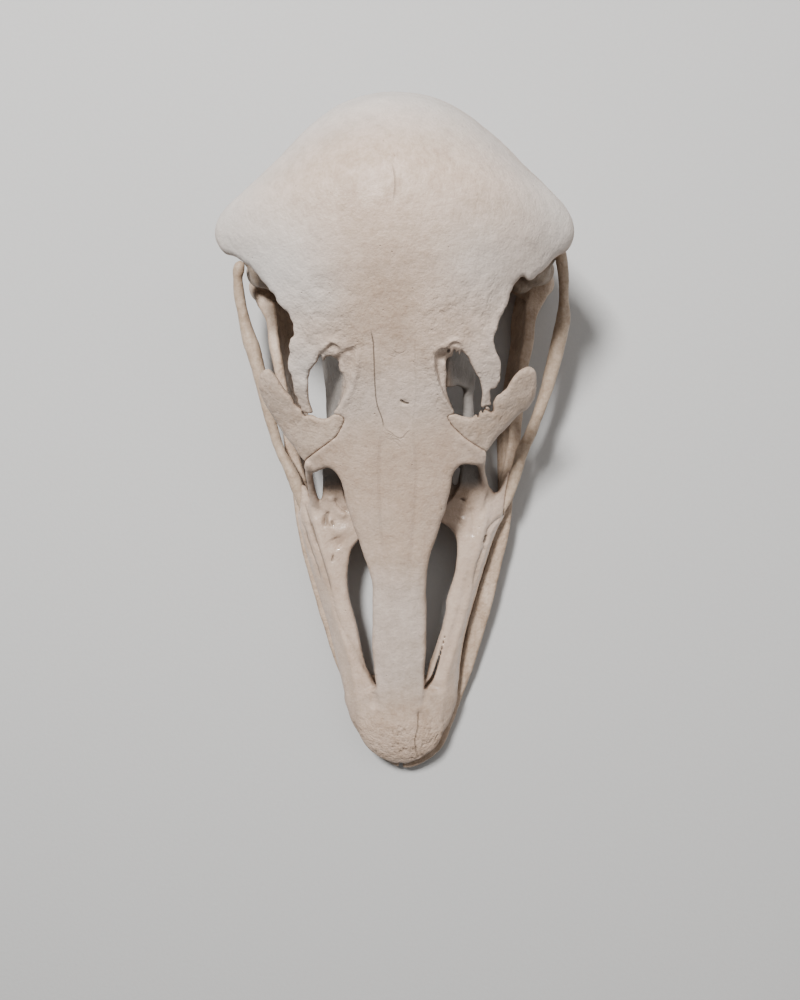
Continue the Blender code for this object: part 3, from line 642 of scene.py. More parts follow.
brainBox = {
    "middle": [  # balls and rods, each ending in how softly it runs into the rest
        ((0, 62, 45), (29, 26.5, 25), 3),
        ((0, 60, 22), (15, 16, 5.5), 3),
        ((0, 74, 56), (16, 11, 9), 3),
        ((0, 84, 27), (4, 4, 3.6), 1.6),  # the knob that the neck turns on
        ([(-7, 82, 29), (0, 83, 27.2), (7, 82, 29)], [1.6, 2.4, 1.6], 1.5),
    ],
    "beside": [  # for the bird's left, mirrored for its right
        ((18, 66.5, 44), (12.6, 13.4, 13.6), 3),
        ((24.5, 71, 33), (8.6, 4.4, 12.6), (8, -14, 20), 2),
        ((36.6, 57.4, 52), (7.2, 5.6, 3), (0, 34, 0), 2),
        ([(24, 54, 48), (33, 56.5, 49.4), (39.6, 57.4, 48.6)], [5, 3.6, 2.4], 3),  # the horn behind the eye
        ([(34, 63, 44), (37.2, 60.5, 40), (38.6, 58, 35.5)], [3.2, 2.2, 1], 2),
        ([(5, 87.5, 47), (14, 84.6, 45.6), (23, 79, 42), (28.4, 73, 36), (29, 70.6, 29)],
         [1.3, 1.6, 1.7, 1.5, 1.3], 2),  # the nape's crest
        ([(6, 84, 42), (8.6, 83, 36), (8, 81.4, 31)], [1.5, 1.6, 1.4], 1.8),
        ([(4, 70, 18.4), (9.6, 64, 17.4), (12, 55, 18)], [1.6, 2, 1.4], 1.6),
        ([(3.5, 40, 22), (8, 36, 19.5), (10.6, 33.5, 18.5)], [3, 2.4, 2.2], 1.2),
    ],
    "hollows": [
        ((0, 62, 46.5), (21.5, 20, 17.5), 0.8),  # the brain's room
        ([(0, 74, 38), (0, 94, 34)], [6.3, 6.6], 4, 1.6),  # the way in from the nape
        ([(-16, 38, 37), (16, 38, 37)], [2.2, 2.2], 4, 0.8),
    ],
    "sideHollows": [
        ((30, 61, 32), (6.5, 6, 6.5), 1.4),
        ([(29, 62, 31), (22, 63, 33), (16, 64, 36)], [2.2, 1.8, 1.6], 0.8),
        ((37.5, 67.5, 39), (5.4, 7, 7), (0, 24, 0), 2),
    ],
    "nerveHoles": [(6, 46, 30, 0.8), (13, 44.5, 36, 0.7), (9.5, 77.5, 25.4, 0.8), (12, 79.4, 28, 0.6)],
}


def addBrainBox(clay):
    addForms(clay, brainBox["middle"])
    for side in (1, -1):
        addForms(clay, brainBox["beside"], side)


def cutBrainBox(clay):
    holes = [([(x, y - 6, z - 2), (x, y + 6, z + 2)], [radius] * 2, 2, 0.5)
             for x, y, z, radius in brainBox["nerveHoles"]]
    cutForms(clay, brainBox["hollows"])
    for side in (1, -1):
        cutForms(clay, brainBox["sideHollows"] + holes, side)


# The plate between the eyes, the struts of the nose and the palate

middlePlates = {
    "eyes": [(-16, 17), (-12, 27), (0, 37), (12, 43), (28, 54), (44, 62), (46, 28), (30, 22), (0, 17)],
    "thin": 0.9,  # half its thickness in the middle
    "thick": 2.1,  # and at its edges
    "keel": [(-34, 13.6), (-30, 15.4), (-6, 17.5), (-4, 15), (-20, 12.4)],
    "keelHalf": 0.6,
    "middle": [
        ((0.6, 21, 41), (5.2, 16, 7), (30, 0, 0), 2),
        ([(0, 52, 24), (0, 30, 22), (0, 0, 18.5), (0, -18, 17)], [6.5, 4.6, 3, 1.6], 14, 1.6),
    ],
    "palate": [
        [(3, -50, 12.5), (3.4, -30, 13), (4.4, -5, 14.5), (6, 20, 17), (9, 30, 18)],
        [(5, -50, 13.5), (6.2, -30, 14.5), (8.2, -5, 16), (11.4, 18, 16), (13, 27, 17)],
    ],
    "palateHalf": 0.8,
    "palateRim": [0.7, 0.9, 1.2, 1.2, 1.0],
    "crossPlate": [(2, 7, 22), (3, 8.4, 31), (2, 10, 40), (10, 11, 24), (14, 14, 31), (13.5, 15, 40)],
    "eyeWallHalf": 0.75,
    "eyeWall": {  # the walls that show inside the openings over the nose, top and foot
        1: [
            [(13.6, 30.5, 47), (13.2, 20, 44), (13.2, 9.5, 40)],
            [(20, 30.5, 37), (19.9, 24, 35), (19.4, 19, 34)],
        ],
        -1: [
            [(12.6, 30.5, 47), (12, 20, 44), (12.4, 9.5, 40)],
            [(19.4, 30.5, 34), (18.2, 20, 32), (17.8, 9.5, 31)],
        ],
    },
    "eyeBar": ([(18.4, 21.4, 34), (18.9, 16, 33), (19.0, 10, 31)], [1.7, 1.45, 1.7], 1.6),
    "wallHoles": [  # x, y and radius
        (13.2, 17.6, 2.1), (16, 18, 1.5), (21.4, 22.4, 0.9), (14.2, 19.6, 0.9),
    ],
}


def addMiddlePlates(clay):
    given = middlePlates

    def septumHalf(y, z, plan):
        return given["thin"] + (given["thick"] - given["thin"]) * (1 - rise(-plan, 0, 7))
    clay.add(upright(given["eyes"], septumHalf, 0.6), 2.4)
    addForms(clay, given["middle"])
    clay.add(upright(given["keel"], given["keelHalf"], 0.4), 1.0)
    for side in (1, -1):
        clay.add(sheet(given["palate"], given["palateHalf"], side, sink=False), 1.2)
        clay.add(rod(mirrored(given["palate"][1], side), given["palateRim"]), 1.0)
        clay.add(eyePlate(mirrored(given["crossPlate"], side)), 1.4)
        clay.add(sheet(given["eyeWall"][side], given["eyeWallHalf"], side, sink=False), 1.0)
    addForms(clay, [given["eyeBar"]])
    holes = [([(x, y, 40), (x, y, 28)], [radius] * 2, 2, 0.6) for x, y, radius in given["wallHoles"]]
    cutForms(clay, holes)


def eyePlate(corners):
    # the cross plate in front of the eye, through two upright rails
    rows = 8
    inner, outer = smoothLine(corners[:3], rows), smoothLine(corners[3:], rows)
    everything = np.concatenate([inner, outer])
    half = 0.8

    def measure(x, y, z):
        near = veryFar
        for k in range(rows - 1):
            a, b = (inner[k] + inner[k + 1]) / 2, (outer[k] + outer[k + 1]) / 2
            tall = abs(inner[k + 1][2] - inner[k][2]) / 2 + 0.4
            run = b - a
            t = np.clip(((x - a[0]) * run[0] + (y - a[1]) * run[1]) / (run[:2] @ run[:2]), 0, 1)
            flat = np.hypot(x - a[0] - t * run[0], y - a[1] - t * run[1]) - half
            near = np.minimum(near, np.maximum(flat, np.abs(z - a[2] - t * run[2]) - tall))
        return near.astype(np.float32)
    return Shape(everything.min(0) - half, everything.max(0) + half, measure)


# The upper jaw's sides, from the beak back to the cheeks

upperJaw = {
    "half": 1.15,  # half the thickness of its bars
    "stiffening": 1.3,  # radius of the rod under their crest
    "stiffeningDrop": 1.2,  # and how far under it that lies
    "floorHalf": 1.1,
    "shelfThickness": 1.2,
    "rows": [  # y, then x and height of the inner edge, the crest and the outer edge
        (-86, 4, 8, 8, 7.6, 11, 5), (-77, 5, 11.6, 10.2, 10.7, 14.4, 7.6),
        (-70, 6, 13.4, 11.6, 12.9, 16.8, 8.9), (-60, 7, 13.8, 13.2, 14.1, 18.2, 9.6),
        (-48, 10.8, 14.5, 16.2, 15, 20.6, 10.2), (-38, 12.6, 15.5, 18.6, 15.9, 23.4, 10.9),
        (-28, 13.6, 16.4, 20.8, 16.7, 26.4, 11.7), (-19, 11.4, 17.2, 22.8, 17.3, 29.6, 12.6),
        (-11, 11.4, 17.4, 24.4, 17.3, 32.2, 13.6), (-1, 12.4, 17.6, 26.6, 16.8, 34.8, 14.8),
    ],
    "outline": {
        1: [
            (3, -85), (6, -72), (6.7, -66), (7.2, -63.6), (8.2, -58.5), (9.8, -54.5), (11.7, -48.1),
            (13, -42.4), (13.2, -39.5), (14, -36.7), (14.8, -34.4), (15.4, -32.4), (15.9, -29.6),
            (16.2, -26.4), (16.1, -23.2), (15.4, -20.9), (14.2, -19.5), (12.9, -18.3), (11.4, -17.4),
            (10.6, -13), (12, -6), (13, 1), (19, 2), (22.6, 0), (23.4, -4), (24.6, -7.2), (26.2, -9.2),
            (27.8, -8.6), (29.2, -6), (30.3, -3), (30.9, -3.4), (30.4, -12.4), (29.5, -15.8),
            (27.6, -20.1), (25.6, -25.8), (23.7, -32.2), (22, -38), (20.4, -43.4), (19.1, -49),
            (18, -54.4), (17.2, -60), (16.6, -67), (15.6, -72), (13.4, -77.6), (9.4, -84),
        ],
        -1: [
            (-3, -85), (-6, -72), (-6.7, -67), (-7.4, -64.6), (-8.4, -62.4), (-10.2, -57.6),
            (-11.6, -51.2), (-12.4, -47.2), (-14.4, -39.8), (-14.8, -36.6), (-14.9, -33.5),
            (-14.6, -30.6), (-14.1, -27.8), (-13.4, -25.4), (-12.5, -24), (-11.4, -22.9),
            (-10.2, -21.6), (-10.8, -16), (-12.2, -8), (-13.4, -2), (-17, 0), (-19.4, -1), (-20.2, -5),
            (-21, -9.4), (-21.9, -12.4), (-22.9, -13), (-24, -12.2), (-25.2, -10.9), (-26.5, -8),
            (-27.7, -7), (-28.4, -9), (-28.8, -13.4), (-29.2, -18), (-27.9, -24.4), (-26.2, -31.4),
            (-24.8, -37.2), (-23, -43.4), (-21.4, -49), (-19.8, -54.8), (-18.3, -60.6), (-17, -67),
            (-15.8, -72), (-13.8, -77.6), (-9.6, -84),
        ],
    },
    "shelf": {  # the plate deep under the nose's edge, in plan
        1: [
            (17.2, 1), (23, 1), (23.6, -3), (24.4, -7.5), (23.4, -12.5), (20, -15.5), (16, -15.4),
            (12, -14), (14.8, -10), (16.6, -6.6), (17.1, -2),
        ],
        -1: [
            (-15.8, 0.6), (-20.2, 0.6), (-20.6, -2.5), (-20.9, -6), (-21.6, -10), (-22.2, -12.8),
            (-18, -15.8), (-14, -15.8), (-14.7, -12.8), (-15.6, -7), (-16, -2.6),
        ],
    },
    "shelfHeights": [(-16, 16.8), (-12, 18.4), (-8, 20.6), (-4, 24), (0, 28), (2, 29.5)],
    "noseBar": {
        1: ([(21.7, 0.8, 34.4), (22.5, -2, 29), (23.5, -6, 22), (24.7, -9.8, 16)], [0.85, 0.75, 0.8, 1.4]),
        -1: ([(-23, -0.6, 34.4), (-23.7, -3.6, 29), (-23.9, -8, 22.2), (-23.7, -13.4, 16)],
             [0.9, 0.9, 0.95, 1.6]),
    },
    "noseGapHeights": (8, 30),
    "noseGaps": [  # where one sees through beside those plates: a line, half its width
        ([(16.3, -2.6), (15.8, -4.6), (15.6, -6.2)], 0.75),
        ([(-15.1, -4.5), (-14.9, -8), (-14.2, -12.2)], 0.4),
    ],
    "bladeSlotHalf": (0.05, 0.5),  # half its width at its start and end
    "bladeSlotHeights": (4, 22),
    "bladeSlot": [  # sets a thin blade of bone free beside the left slit's front end
        (12.9, -50), (11.6, -55), (10.3, -59.5), (9.2, -62.6), (7.4, -65),
    ],
    "beads": [  # small swellings along the left bar's inner side
        (18.7, -21.5), (19.8, -23.7), (19.2, -25.2), (19.5, -27.4), (18.7, -30.8), (18.4, -33.1),
        (17.1, -35.9), (15.8, -42.2), (15.4, -44.6), (14.9, -46.7),
    ],
    "floor": [(6, -72, 13.5), (4.4, -62, 13), (3.2, -50, 12.5)],
    "tip": ((0, -77, 10.5), (12.5, 11.5, 3.4), (8, 0, 0), 1.5),
    "marks": [  # a line in plan, its width, its depth and how dark it is
        ([(28.8, -15.8), (26.4, -17.6), (25, -19.3), (24.5, -21.1)], 0.6, 0.5, 0.25),
        ([(24.5, -20.9), (23.9, -23.4)], 0.55, 1.3, 1),
        ([(23.8, -23.8), (22.7, -27.3), (21.9, -29.9), (20.8, -35.7)], 0.6, 0.5, 0.3),
        ([(20.6, -26), (19.8, -32.7), (17.8, -41), (14.7, -52), (12, -60)], 1.2, 0.55, 0),
        ([(17, -16.3), (18.8, -16.8)], 0.6, -0.45, 0),
        ([(16.9, -10.6), (18.2, -11.5)], 0.6, 0.8, 0.8),
        ([(14.6, -16.8), (15.8, -18.4), (17.4, -19.4)], 0.7, -0.3, 0),
        ([(19.8, -12.6), (20.4, -17.6), (20.2, -22)], 1, 0.4, 0.1),
        ([(-26.9, -11.4), (-25.5, -17.1), (-24.1, -22), (-22.7, -26.2), (-21, -32), (-18.8, -40)], 0.75,
          0.8, 0.5),
        ([(-19.6, -37), (-17.3, -46), (-12.8, -54.4), (-9, -62)], 0.9, 0.5, 0.12),
        ([(-28, -17), (-25.9, -24.3), (-24, -29.6), (-22.8, -34.6)], 0.6, 0.55, 0.4),
        ([(-25.2, -12), (-23.8, -17), (-22.2, -23), (-20.6, -29)], 0.8, -0.35, 0),
        ([(-19.4, -9.6), (-18.3, -12.6), (-16.7, -14.8), (-14.6, -15.9)], 0.9, -0.9, 0),
        ([(-18, -10.4), (-17, -12.6), (-15.7, -13.9), (-14.2, -14.4)], 0.7, 0.8, 0.3),
        ([(-19.6, -14.6), (-20.6, -15.8), (-21, -18.8)], 0.6, 1, 0.6),
        ([(-18.6, -19.4), (-16.4, -19.9), (-14.2, -19.2)], 1.4, -0.5, 0),
        ([(-18.8, -17), (-18.5, -18.6)], 0.45, 0.5, 0.5),
        ([(-19.6, -16.6), (-19.7, -18)], 0.5, -0.5, 0),
        ([(-18.4, -21.8), (-17.6, -23.2), (-16.4, -24.4)], 1.5, 1.1, 0.2),
        ([(-18.6, -26.6), (-19.1, -28.8)], 0.4, 0.4, 0.5),
        ([(-13.4, -13.8), (-12.4, -18.2), (-11, -21.6)], 0.4, 0.4, 0.35),
        ([(-27.2, -10.4), (-26, -14.6), (-24.6, -18.4)], 0.7, -0.45, 0),
    ],
}
cheekRod = {  # the middle line of each rod, x, y and height, and half its width
    1: [
        (28.9, -15, 13.6, 0.5), (30.6, -10.4, 14.3, 1.2), (32, -5.6, 14.9, 1.5),
        (33.2, -1.4, 15.2, 1.55), (34.3, 2.6, 15.5, 1.6), (36.4, 7.2, 16.1, 1.55),
        (38.8, 14, 17.1, 1.45), (41.2, 22, 18.4, 1.75), (43, 30, 19.7, 1.95), (43.9, 34.4, 20.5, 1.9),
        (44.6, 38.4, 21.3, 1.85), (44.6, 41.6, 22, 1.4), (44.5, 45, 22.7, 1.25), (44.3, 49, 23.6, 1.35),
        (43.5, 54, 25, 1.5), (43.1, 55.8, 25.5, 1.2), (43, 56.5, 25.7, 0.3),
    ],
    -1: [
        (-27.4, -16, 13.6, 0.5), (-28.2, -11.6, 14.1, 1.3), (-29.5, -7, 14.7, 1.75),
        (-31.2, -2.6, 15.1, 1.6), (-34, 3.2, 15.6, 1.3), (-36.2, 11, 16.7, 1.45),
        (-37.7, 18, 17.7, 1.6), (-39.1, 25, 18.9, 1.75), (-40.4, 30.6, 19.8, 2), (-41.4, 34, 20.4, 1.9),
        (-42.2, 37.4, 21, 1.55), (-42.9, 41.4, 21.9, 1.4), (-43.5, 46, 22.9, 1.4),
        (-43.6, 49.4, 23.7, 1.25), (-43.2, 51.6, 24.2, 1.45), (-42.7, 53.2, 24.6, 1.2),
        (-42.5, 54, 24.8, 0.3),
    ],
    "gap": 0.2,  # cut round its front end
}


def addUpperJaw(clay):
    half = upperJaw["half"]
    addForms(clay, [upperJaw["tip"]])
    floor = upperJaw["floor"]
    clay.add(sheet([mirrored(floor, -1), floor], upperJaw["floorHalf"], sink=False), 1.0)
    rows = upperJaw["rows"]
    inner, crest, outer = ([(row[k], row[0], row[k + 1]) for row in rows] for k in (1, 3, 5))

    def shelfTop(x, y, plan):
        heights = np.array(upperJaw["shelfHeights"])
        return np.interp(y, heights[:, 0], heights[:, 1]) + 0 * x
    for side in (1, -1):
        outline = upperJaw["outline"][side]
        clay.add(within(sheet([inner, crest, outer], half, side), outline, 1.5), 1.6)
        stiff = [(side * x, y, z - upperJaw["stiffeningDrop"]) for x, y, z in crest]
        stiff = rod(stiff, [upperJaw["stiffening"]] * len(stiff), count=30)
        clay.add(within(stiff, outline, 1.2), 1.2)
        clay.add(cast(upperJaw["shelf"][side], shelfTop, upperJaw["shelfThickness"], edge=0.6), 1.2)
        clay.add(rod(*upperJaw["noseBar"][side]), 0.9)


def cutUpperJaw(clay):
    for side in (1, -1):
        front = cheekRod[side][:7]
        path = [point[:3] for point in front]
        clay.cut(rod(path, [point[3] + cheekRod["gap"] for point in front], count=20), 0.1)
    for line, half in upperJaw["noseGaps"]:
        clay.cut(slot(line, half, *upperJaw["noseGapHeights"]), 0.3)
    clay.cut(slot(upperJaw["bladeSlot"], upperJaw["bladeSlotHalf"], *upperJaw["bladeSlotHeights"]), 0.2)


def markUpperJaw(clay):
    lines = []
    for x, y in upperJaw["beads"]:
        clay.press(clay.laid([(x - 0.2, y + 0.1), (x, y), (x + 0.2, y - 0.1)], 3), 0.5, -0.34)
    for line, width, depth, dark in upperJaw["marks"]:
        laid = clay.laid(line)
        clay.press(laid, width, depth)
        if dark:
            lines.append((laid, 0.2, dark))
    return lines


# The loose bones

lacrimal = {
    "box": ((8, -4, 16), (40, 28, 54)),
    "left": [
        (13.4, 11.9), (14.7, 9.4), (16.7, 7.4), (19.3, 5.3), (22.4, 3.5), (23.5, 2.7), (24.5, 4),
        (26.2, 6.3), (28.3, 8.4), (30.3, 10.7), (32.4, 12.8), (33.8, 13.4), (34.9, 14.8), (35.8, 17.2),
        (35.9, 20.1), (35.6, 22.6), (34.6, 23.8), (33.2, 24.1), (31.3, 23.1), (29.6, 21.2), (28, 18.5),
        (26.1, 16.8), (25.1, 15.1), (24.8, 13.2), (23.6, 13.5), (22.6, 13.9), (21.6, 13.4),
        (20.9, 12.4), (19.7, 11.6), (17.7, 11.6), (15.4, 12.2),
    ],
    "right": [
        (-12.1, 12.2), (-12.5, 10.9), (-13.4, 8.9), (-14.8, 6.8), (-17.1, 5), (-19.4, 3.5),
        (-21.4, 2.1), (-23, 1.1), (-24, 0.1), (-25.3, 1.5), (-27.3, 4.2), (-29.3, 6.8), (-31.2, 9.9),
        (-32.9, 13), (-34, 15.1), (-34.6, 17.5), (-34.6, 20), (-34.1, 21.9), (-32.8, 23.3),
        (-31.2, 23.7), (-30.3, 23), (-29.4, 21.8), (-27.6, 18.9), (-26.2, 17.1), (-25.1, 15.4),
        (-24.3, 14.5), (-23.2, 13.5), (-22.7, 12.6), (-20.2, 11.9), (-18.7, 11.4), (-16.6, 11.4),
        (-15.2, 11.9), (-13.4, 12.9),
    ],
    "crown": 0.3,  # how much it swells above the roof around it
    "sunk": 0.05,  # its seam under the roof's level
    "droop": 0.9,  # how much its horn hangs down
    "thickness": 2.9,
    "hornThinner": 0.5,
    "uneven": 0.12,
    "ragged": 0.3,
    "sharp": 0.25,  # its edge along the seam
    "rounder": 0.95,  # and how much rounder the rest is
    "gap": 0.0,  # it lies right against the roof
    "strut": ([(19.4, 8, 37.5), (21, 6.6, 30), (22, 5.6, 21)], [2.2, 1.9, 1.7], 1),
}


def makeLacrimal(name, side, cranium):
    clay = Clay.beside(lacrimal["box"], side)

    def top(x, y, plan):
        swell = lacrimal["crown"] * (1 - np.exp(np.minimum(plan, 0) / 1.4))
        droop = lacrimal["droop"] * rise(np.abs(x), 27, 36)
        height = plainRoof(x, y) - lacrimal["sunk"] + swell - droop
        return height + lacrimal["uneven"] * fineLumps.at(x, y, 3)

    def ragged(x, y):
        return (lacrimal["ragged"] * tinyLumps.at(x, y, 5)) * rise(y, 9, 12) * (1 - rise(np.abs(x), 26, 29))

    def thickness(x, y, plan):
        return lacrimal["thickness"] - lacrimal["hornThinner"] * rise(np.abs(x), 25, 31)

    def edge(x, y):
        # the seam runs aslant from the inner corner
        fromSeam = (np.abs(x) - 13.4) * 0.67 + (y - 11.9) * 0.74
        return lacrimal["sharp"] + lacrimal["rounder"] * rise(fromSeam, 0.8, 2.4)
    clay.add(cast(lacrimal[name], top, thickness, edge=edge, ragged=ragged), 0)
    addForms(clay, [lacrimal["strut"]], side)
    clay.keepOff(cranium, lacrimal["gap"])
    cutGaps(clay)
    return clay


struts = {  # the boxes, balls and rods of the bird's left bones
    "quadrateBox": ((18, 36, 8), (48, 70, 46)),
    "quadrate": [
        ([(31.5, 60, 38), (34.5, 56, 29), (37, 51, 20)], [2.6, 2.9, 3.8], 0),
        ([(35, 55, 28), (30, 49, 29), (25, 43, 30)], [3, 1.8, 1.2], 1.6),
        ([(34.5, 54.5, 25), (30, 49, 26), (26, 44.5, 28.6)], [2.4, 1.4, 1], 1.6),
        ([(37, 51, 20), (40.4, 54.6, 23.6)], [2.8, 2], 6, 1.2),
        ((39.4, 51.4, 17.8), (2.9, 3.6, 2.5), (0, 0, -20), 1.2),
        ((33.4, 49, 18), (3.3, 3.4, 2.7), (0, 0, -20), 1.2),
    ],
    "quadrateHollow": ((36.8, 46.2, 24.6), (2.6, 2.2, 4.0), 1.4),
    "pterygoidBox": ((9, 26, 13), (34, 53, 25)),
    "pterygoid": [
        ([(29.4, 47.6, 19.6), (22, 40, 19.4), (13.6, 30.8, 18.6)], [1.7, 1.5, 1.4], 0),
        ([(26, 43, 20.3), (20, 38, 20.4), (15, 33.6, 19.2)], [0.8, 1.2, 0.9], 1),
    ],
    "gap": 0.3,  # where dried ligament holds them
    "quadrateGap": 0.35,  # from the brain box
}


def makeQuadrate(side, cranium):
    clay = Clay.beside(struts["quadrateBox"], side)
    addForms(clay, struts["quadrate"], side)
    cutForms(clay, [struts["quadrateHollow"]], side)
    clay.keepOff(cranium, struts["quadrateGap"])
    return clay


def makePterygoid(side, cranium, quadrate):
    clay = Clay.beside(struts["pterygoidBox"], side)
    addForms(clay, struts["pterygoid"], side)
    clay.keepOff(cranium, struts["gap"])
    clay.keepOff(quadrate, struts["gap"])
    return clay


lowerJaw = {
    "box": ((-47, -95, -2), (47, 67, 19)),
    "ramus": [  # y, half breadth on top, top and bottom edge, half thickness of both, the foot's lean
        (50, 39.2, 11.8, -0.2, 2.6, 1.7, 4.2), (46, 38.6, 12.6, -0.4, 2.7, 1.7, 4.4),
        (43, 37.3, 13.5, -0.6, 2.3, 1.6, 4), (39, 36.2, 14.4, -0.6, 1.75, 1.5, 3.6),
        (33, 35.6, 15.2, -0.6, 1.7, 1.4, 3.2), (25, 34.1, 15.5, -0.6, 1.5, 1.35, 3),
        (13, 32.5, 14, -0.5, 1.8, 1.4, 3.4), (3, 31.7, 12.4, 0, 2, 1.5, 3.4),
        (-8, 29.6, 10.6, 0.6, 2.4, 1.5, 1), (-20, 28.3, 9.6, 1, 2.4, 1.4, -0.6),
        (-32, 25.5, 8.8, 0.8, 2.6, 1.4, -1.2), (-44, 22.2, 8, 0.4, 2.9, 1.4, -1.5),
        (-56, 19.1, 6.8, -0.2, 2.6, 1.5, -1.1), (-68, 15.9, 5.4, -0.6, 1.8, 1.5, 0),
        (-78, 12.4, 5, -0.6, 1.6, 1.6, 0.3), (-86, 8.6, 5.2, -0.4, 1.6, 1.6, 0.3),
        (-90.5, 0, 5.2, -0.2, 1.6, 1.6, 0.3),
    ],
    "floorEdge": [(13.6, -65, 0.8), (11.8, -72, 0.8), (9.6, -78.5, 0.9), (5.6, -86, 1.4)],
    "floorMiddle": [(0, -65, 1.2), (0, -72, 1.2), (0, -78.5, 1.2), (0, -86, 1.8)],
    "chin": ((0, -86.4, 1.8), (5.5, 3.2, 1.6), 1.6),
    "hinge": [
        ((36.4, 50, 9.6), (7, 5.4, 3.4), (0, 0, -16), 1.6),
        ((35.8, 51, 3.4), (2.7, 8.5, 4), 1.6),
        ([(33, 50, 9), (28, 50.5, 9.5), (24.5, 51.5, 10.5)], [3, 2.2, 1.5], 1.6),
        ([(36, 52, 8.5), (36, 57.5, 8.2), (35.4, 61, 9.4)], [3.4, 2.4, 1.6], 1.6),
    ],
    "hingeHollows": [
        ((39.2, 51.6, 14.8), (3.2, 3.8, 2.9), 1),
        ((33.2, 49.4, 14.6), (3.2, 3.4, 2.6), 1),
        ((31, 53.6, 7), (2.4, 2.2, 2.2), 1),
    ],
    "notch": [(-1.5, -94), (-1.5, -90.4)],
    "notchHalf": 0.6,
    "bow": 0.5,  # how far its wall bulges outward half-way up
    "waist": 0.35,  # how much thinner it is there
    "groove": (0.3, 0.66, 0.08),  # outside: depth, height and breadth as shares of the wall's height
    "hollow": (0.55, 0.5, 0.22),  # inside: the same
    "yaw": 0.55,  # degrees, its tip lies to the bird's left
    "pivot": (0, 46),
}


def makeLowerJaw():
    clay = Clay(*lowerJaw["box"])
    rear = [(row[1], row[0], *row[2:]) for row in lowerJaw["ramus"]]
    path = smoothLine(rear + mirrored(rear[-2::-1], -1), 170)
    last = len(path) - 1

    def ramus(x, y, z):
        x, y = x[:, :, 0], y[:, :, 0]
        near, place = lineDistance(path, x, y)
        lateral = np.where(insideOutline(path[:, :2], x, y), -near, near)[:, :, None]
        values = (np.interp(place, np.arange(len(path)), path[:, k])[:, :, None] for k in range(2, 7))
        top, low, halfTop, halfFoot, lean = values
        share = np.clip((z - low) / (top - low), 0, 1)
        bulge = np.sin(math.pi * share)
        side = lateral + lean * (1 - share)**1.25 - lowerJaw["bow"] * bulge
        half = halfFoot + (halfTop - halfFoot) * rise(share, 0.55, 0.95) - lowerJaw["waist"] * bulge
        front = rise(place, 0.1 * last, 0.2 * last) * (1 - rise(place, 0.8 * last, 0.9 * last))

        def hollowed(sizes, beyond):
            depth, height, breadth = sizes
            return depth * np.exp(-((share - height) / breadth)**2) * rise(beyond, 0, 0.6)
        hollows = hollowed(lowerJaw["groove"], lateral) + hollowed(lowerJaw["hollow"], -lateral)
        wall = np.abs(side) - half + hollows * front[:, :, None]
        tall = np.abs(z - (top + low) / 2) - (top - low) / 2
        return keepBoth(wall, tall, 1.3).astype(np.float32)
    clay.add(Shape((-43, -92, -1), (43, 52, 16), ramus), 0)
    edge = lowerJaw["floorEdge"]
    clay.add(sheet([mirrored(edge, -1), lowerJaw["floorMiddle"], edge], 1.2, sink=False, across=9), 1.6)
    addForms(clay, [lowerJaw["chin"]])
    for side in (1, -1):
        addForms(clay, lowerJaw["hinge"], side)
        cutForms(clay, lowerJaw["hingeHollows"], side)
    clay.cut(slot(lowerJaw["notch"], lowerJaw["notchHalf"], -2, 8), 0.3)
    clay.keepAbove(0.0)
    return clay


def turnJaw(points):
    angle = math.radians(lowerJaw["yaw"])
    (middleX, middleY), turned = lowerJaw["pivot"], points.copy()
    x, y = points[:, 0] - middleX, points[:, 1] - middleY
    turned[:, 0] = middleX + math.cos(angle) * x - math.sin(angle) * y
    turned[:, 1] = middleY + math.sin(angle) * x + math.cos(angle) * y
    return turned


craniumBox = ((-47, -94, 1), (47, 93, skull["top"]))


def makeCranium():
    clay = Clay(*craniumBox)
    addRoof(clay)
    print("  roof")
    addBrainBox(clay)
    print("  brain box")
    addMiddlePlates(clay)
    addUpperJaw(clay)
    print("  nose, palate and jaw bars")
    cutBrainBox(clay)
    cutUpperJaw(clay)
    cutGaps(clay)
    return clay, markUpperJaw(clay)


# Shader and geometry trees

class Wire:
    # a socket; arithmetic on it adds Math nodes
    def __init__(self, tree, socket):
        self.tree, self.socket = tree, socket

    def maths(self, operation, first, second):
        return addNode(self.tree, "ShaderNodeMath", {"operation": operation}, {0: first, 1: second})

    def __add__(self, other):
        return self.maths("ADD", self, other)

    def __sub__(self, other):
        return self.maths("SUBTRACT", self, other)

    def __mul__(self, other):
        return self.maths("MULTIPLY", self, other)

    def __truediv__(self, other):
        return self.maths("DIVIDE", self, other)

    def __rsub__(self, other):
        return self.maths("SUBTRACT", other, self)

    def __rtruediv__(self, other):
        return self.maths("DIVIDE", other, self)

    __radd__ = __add__
    __rmul__ = __mul__


def addNode(tree, kind, settings=None, sockets=None, out=0):
    # settings first, then what its sockets hold or are linked to
    node = tree.nodes.new(kind)
    for key, value in (settings or {}).items():
        setattr(node, key, value)
    for key, value in (sockets or {}).items():
        if isinstance(value, Wire):
            tree.links.new(value.socket, node.inputs[key])
        else:
            node.inputs[key].default_value = value
    return Wire(tree, node.outputs[out]) if node.outputs else None


def mixColours(tree, share, first, second):
    return addNode(tree, "ShaderNodeMix", {"data_type": "RGBA"}, {0: share, 6: first, 7: second}, out=2)


def emptyMaterial(name):
    material = bpy.data.materials.new(name)
    material.use_nodes = True
    material.node_tree.nodes.clear()
    return material, material.node_tree


def endMaterial(tree, surface):
    shader = addNode(tree, "ShaderNodeBsdfPrincipled", {}, surface)
    addNode(tree, "ShaderNodeOutputMaterial", {}, {"Surface": shader})


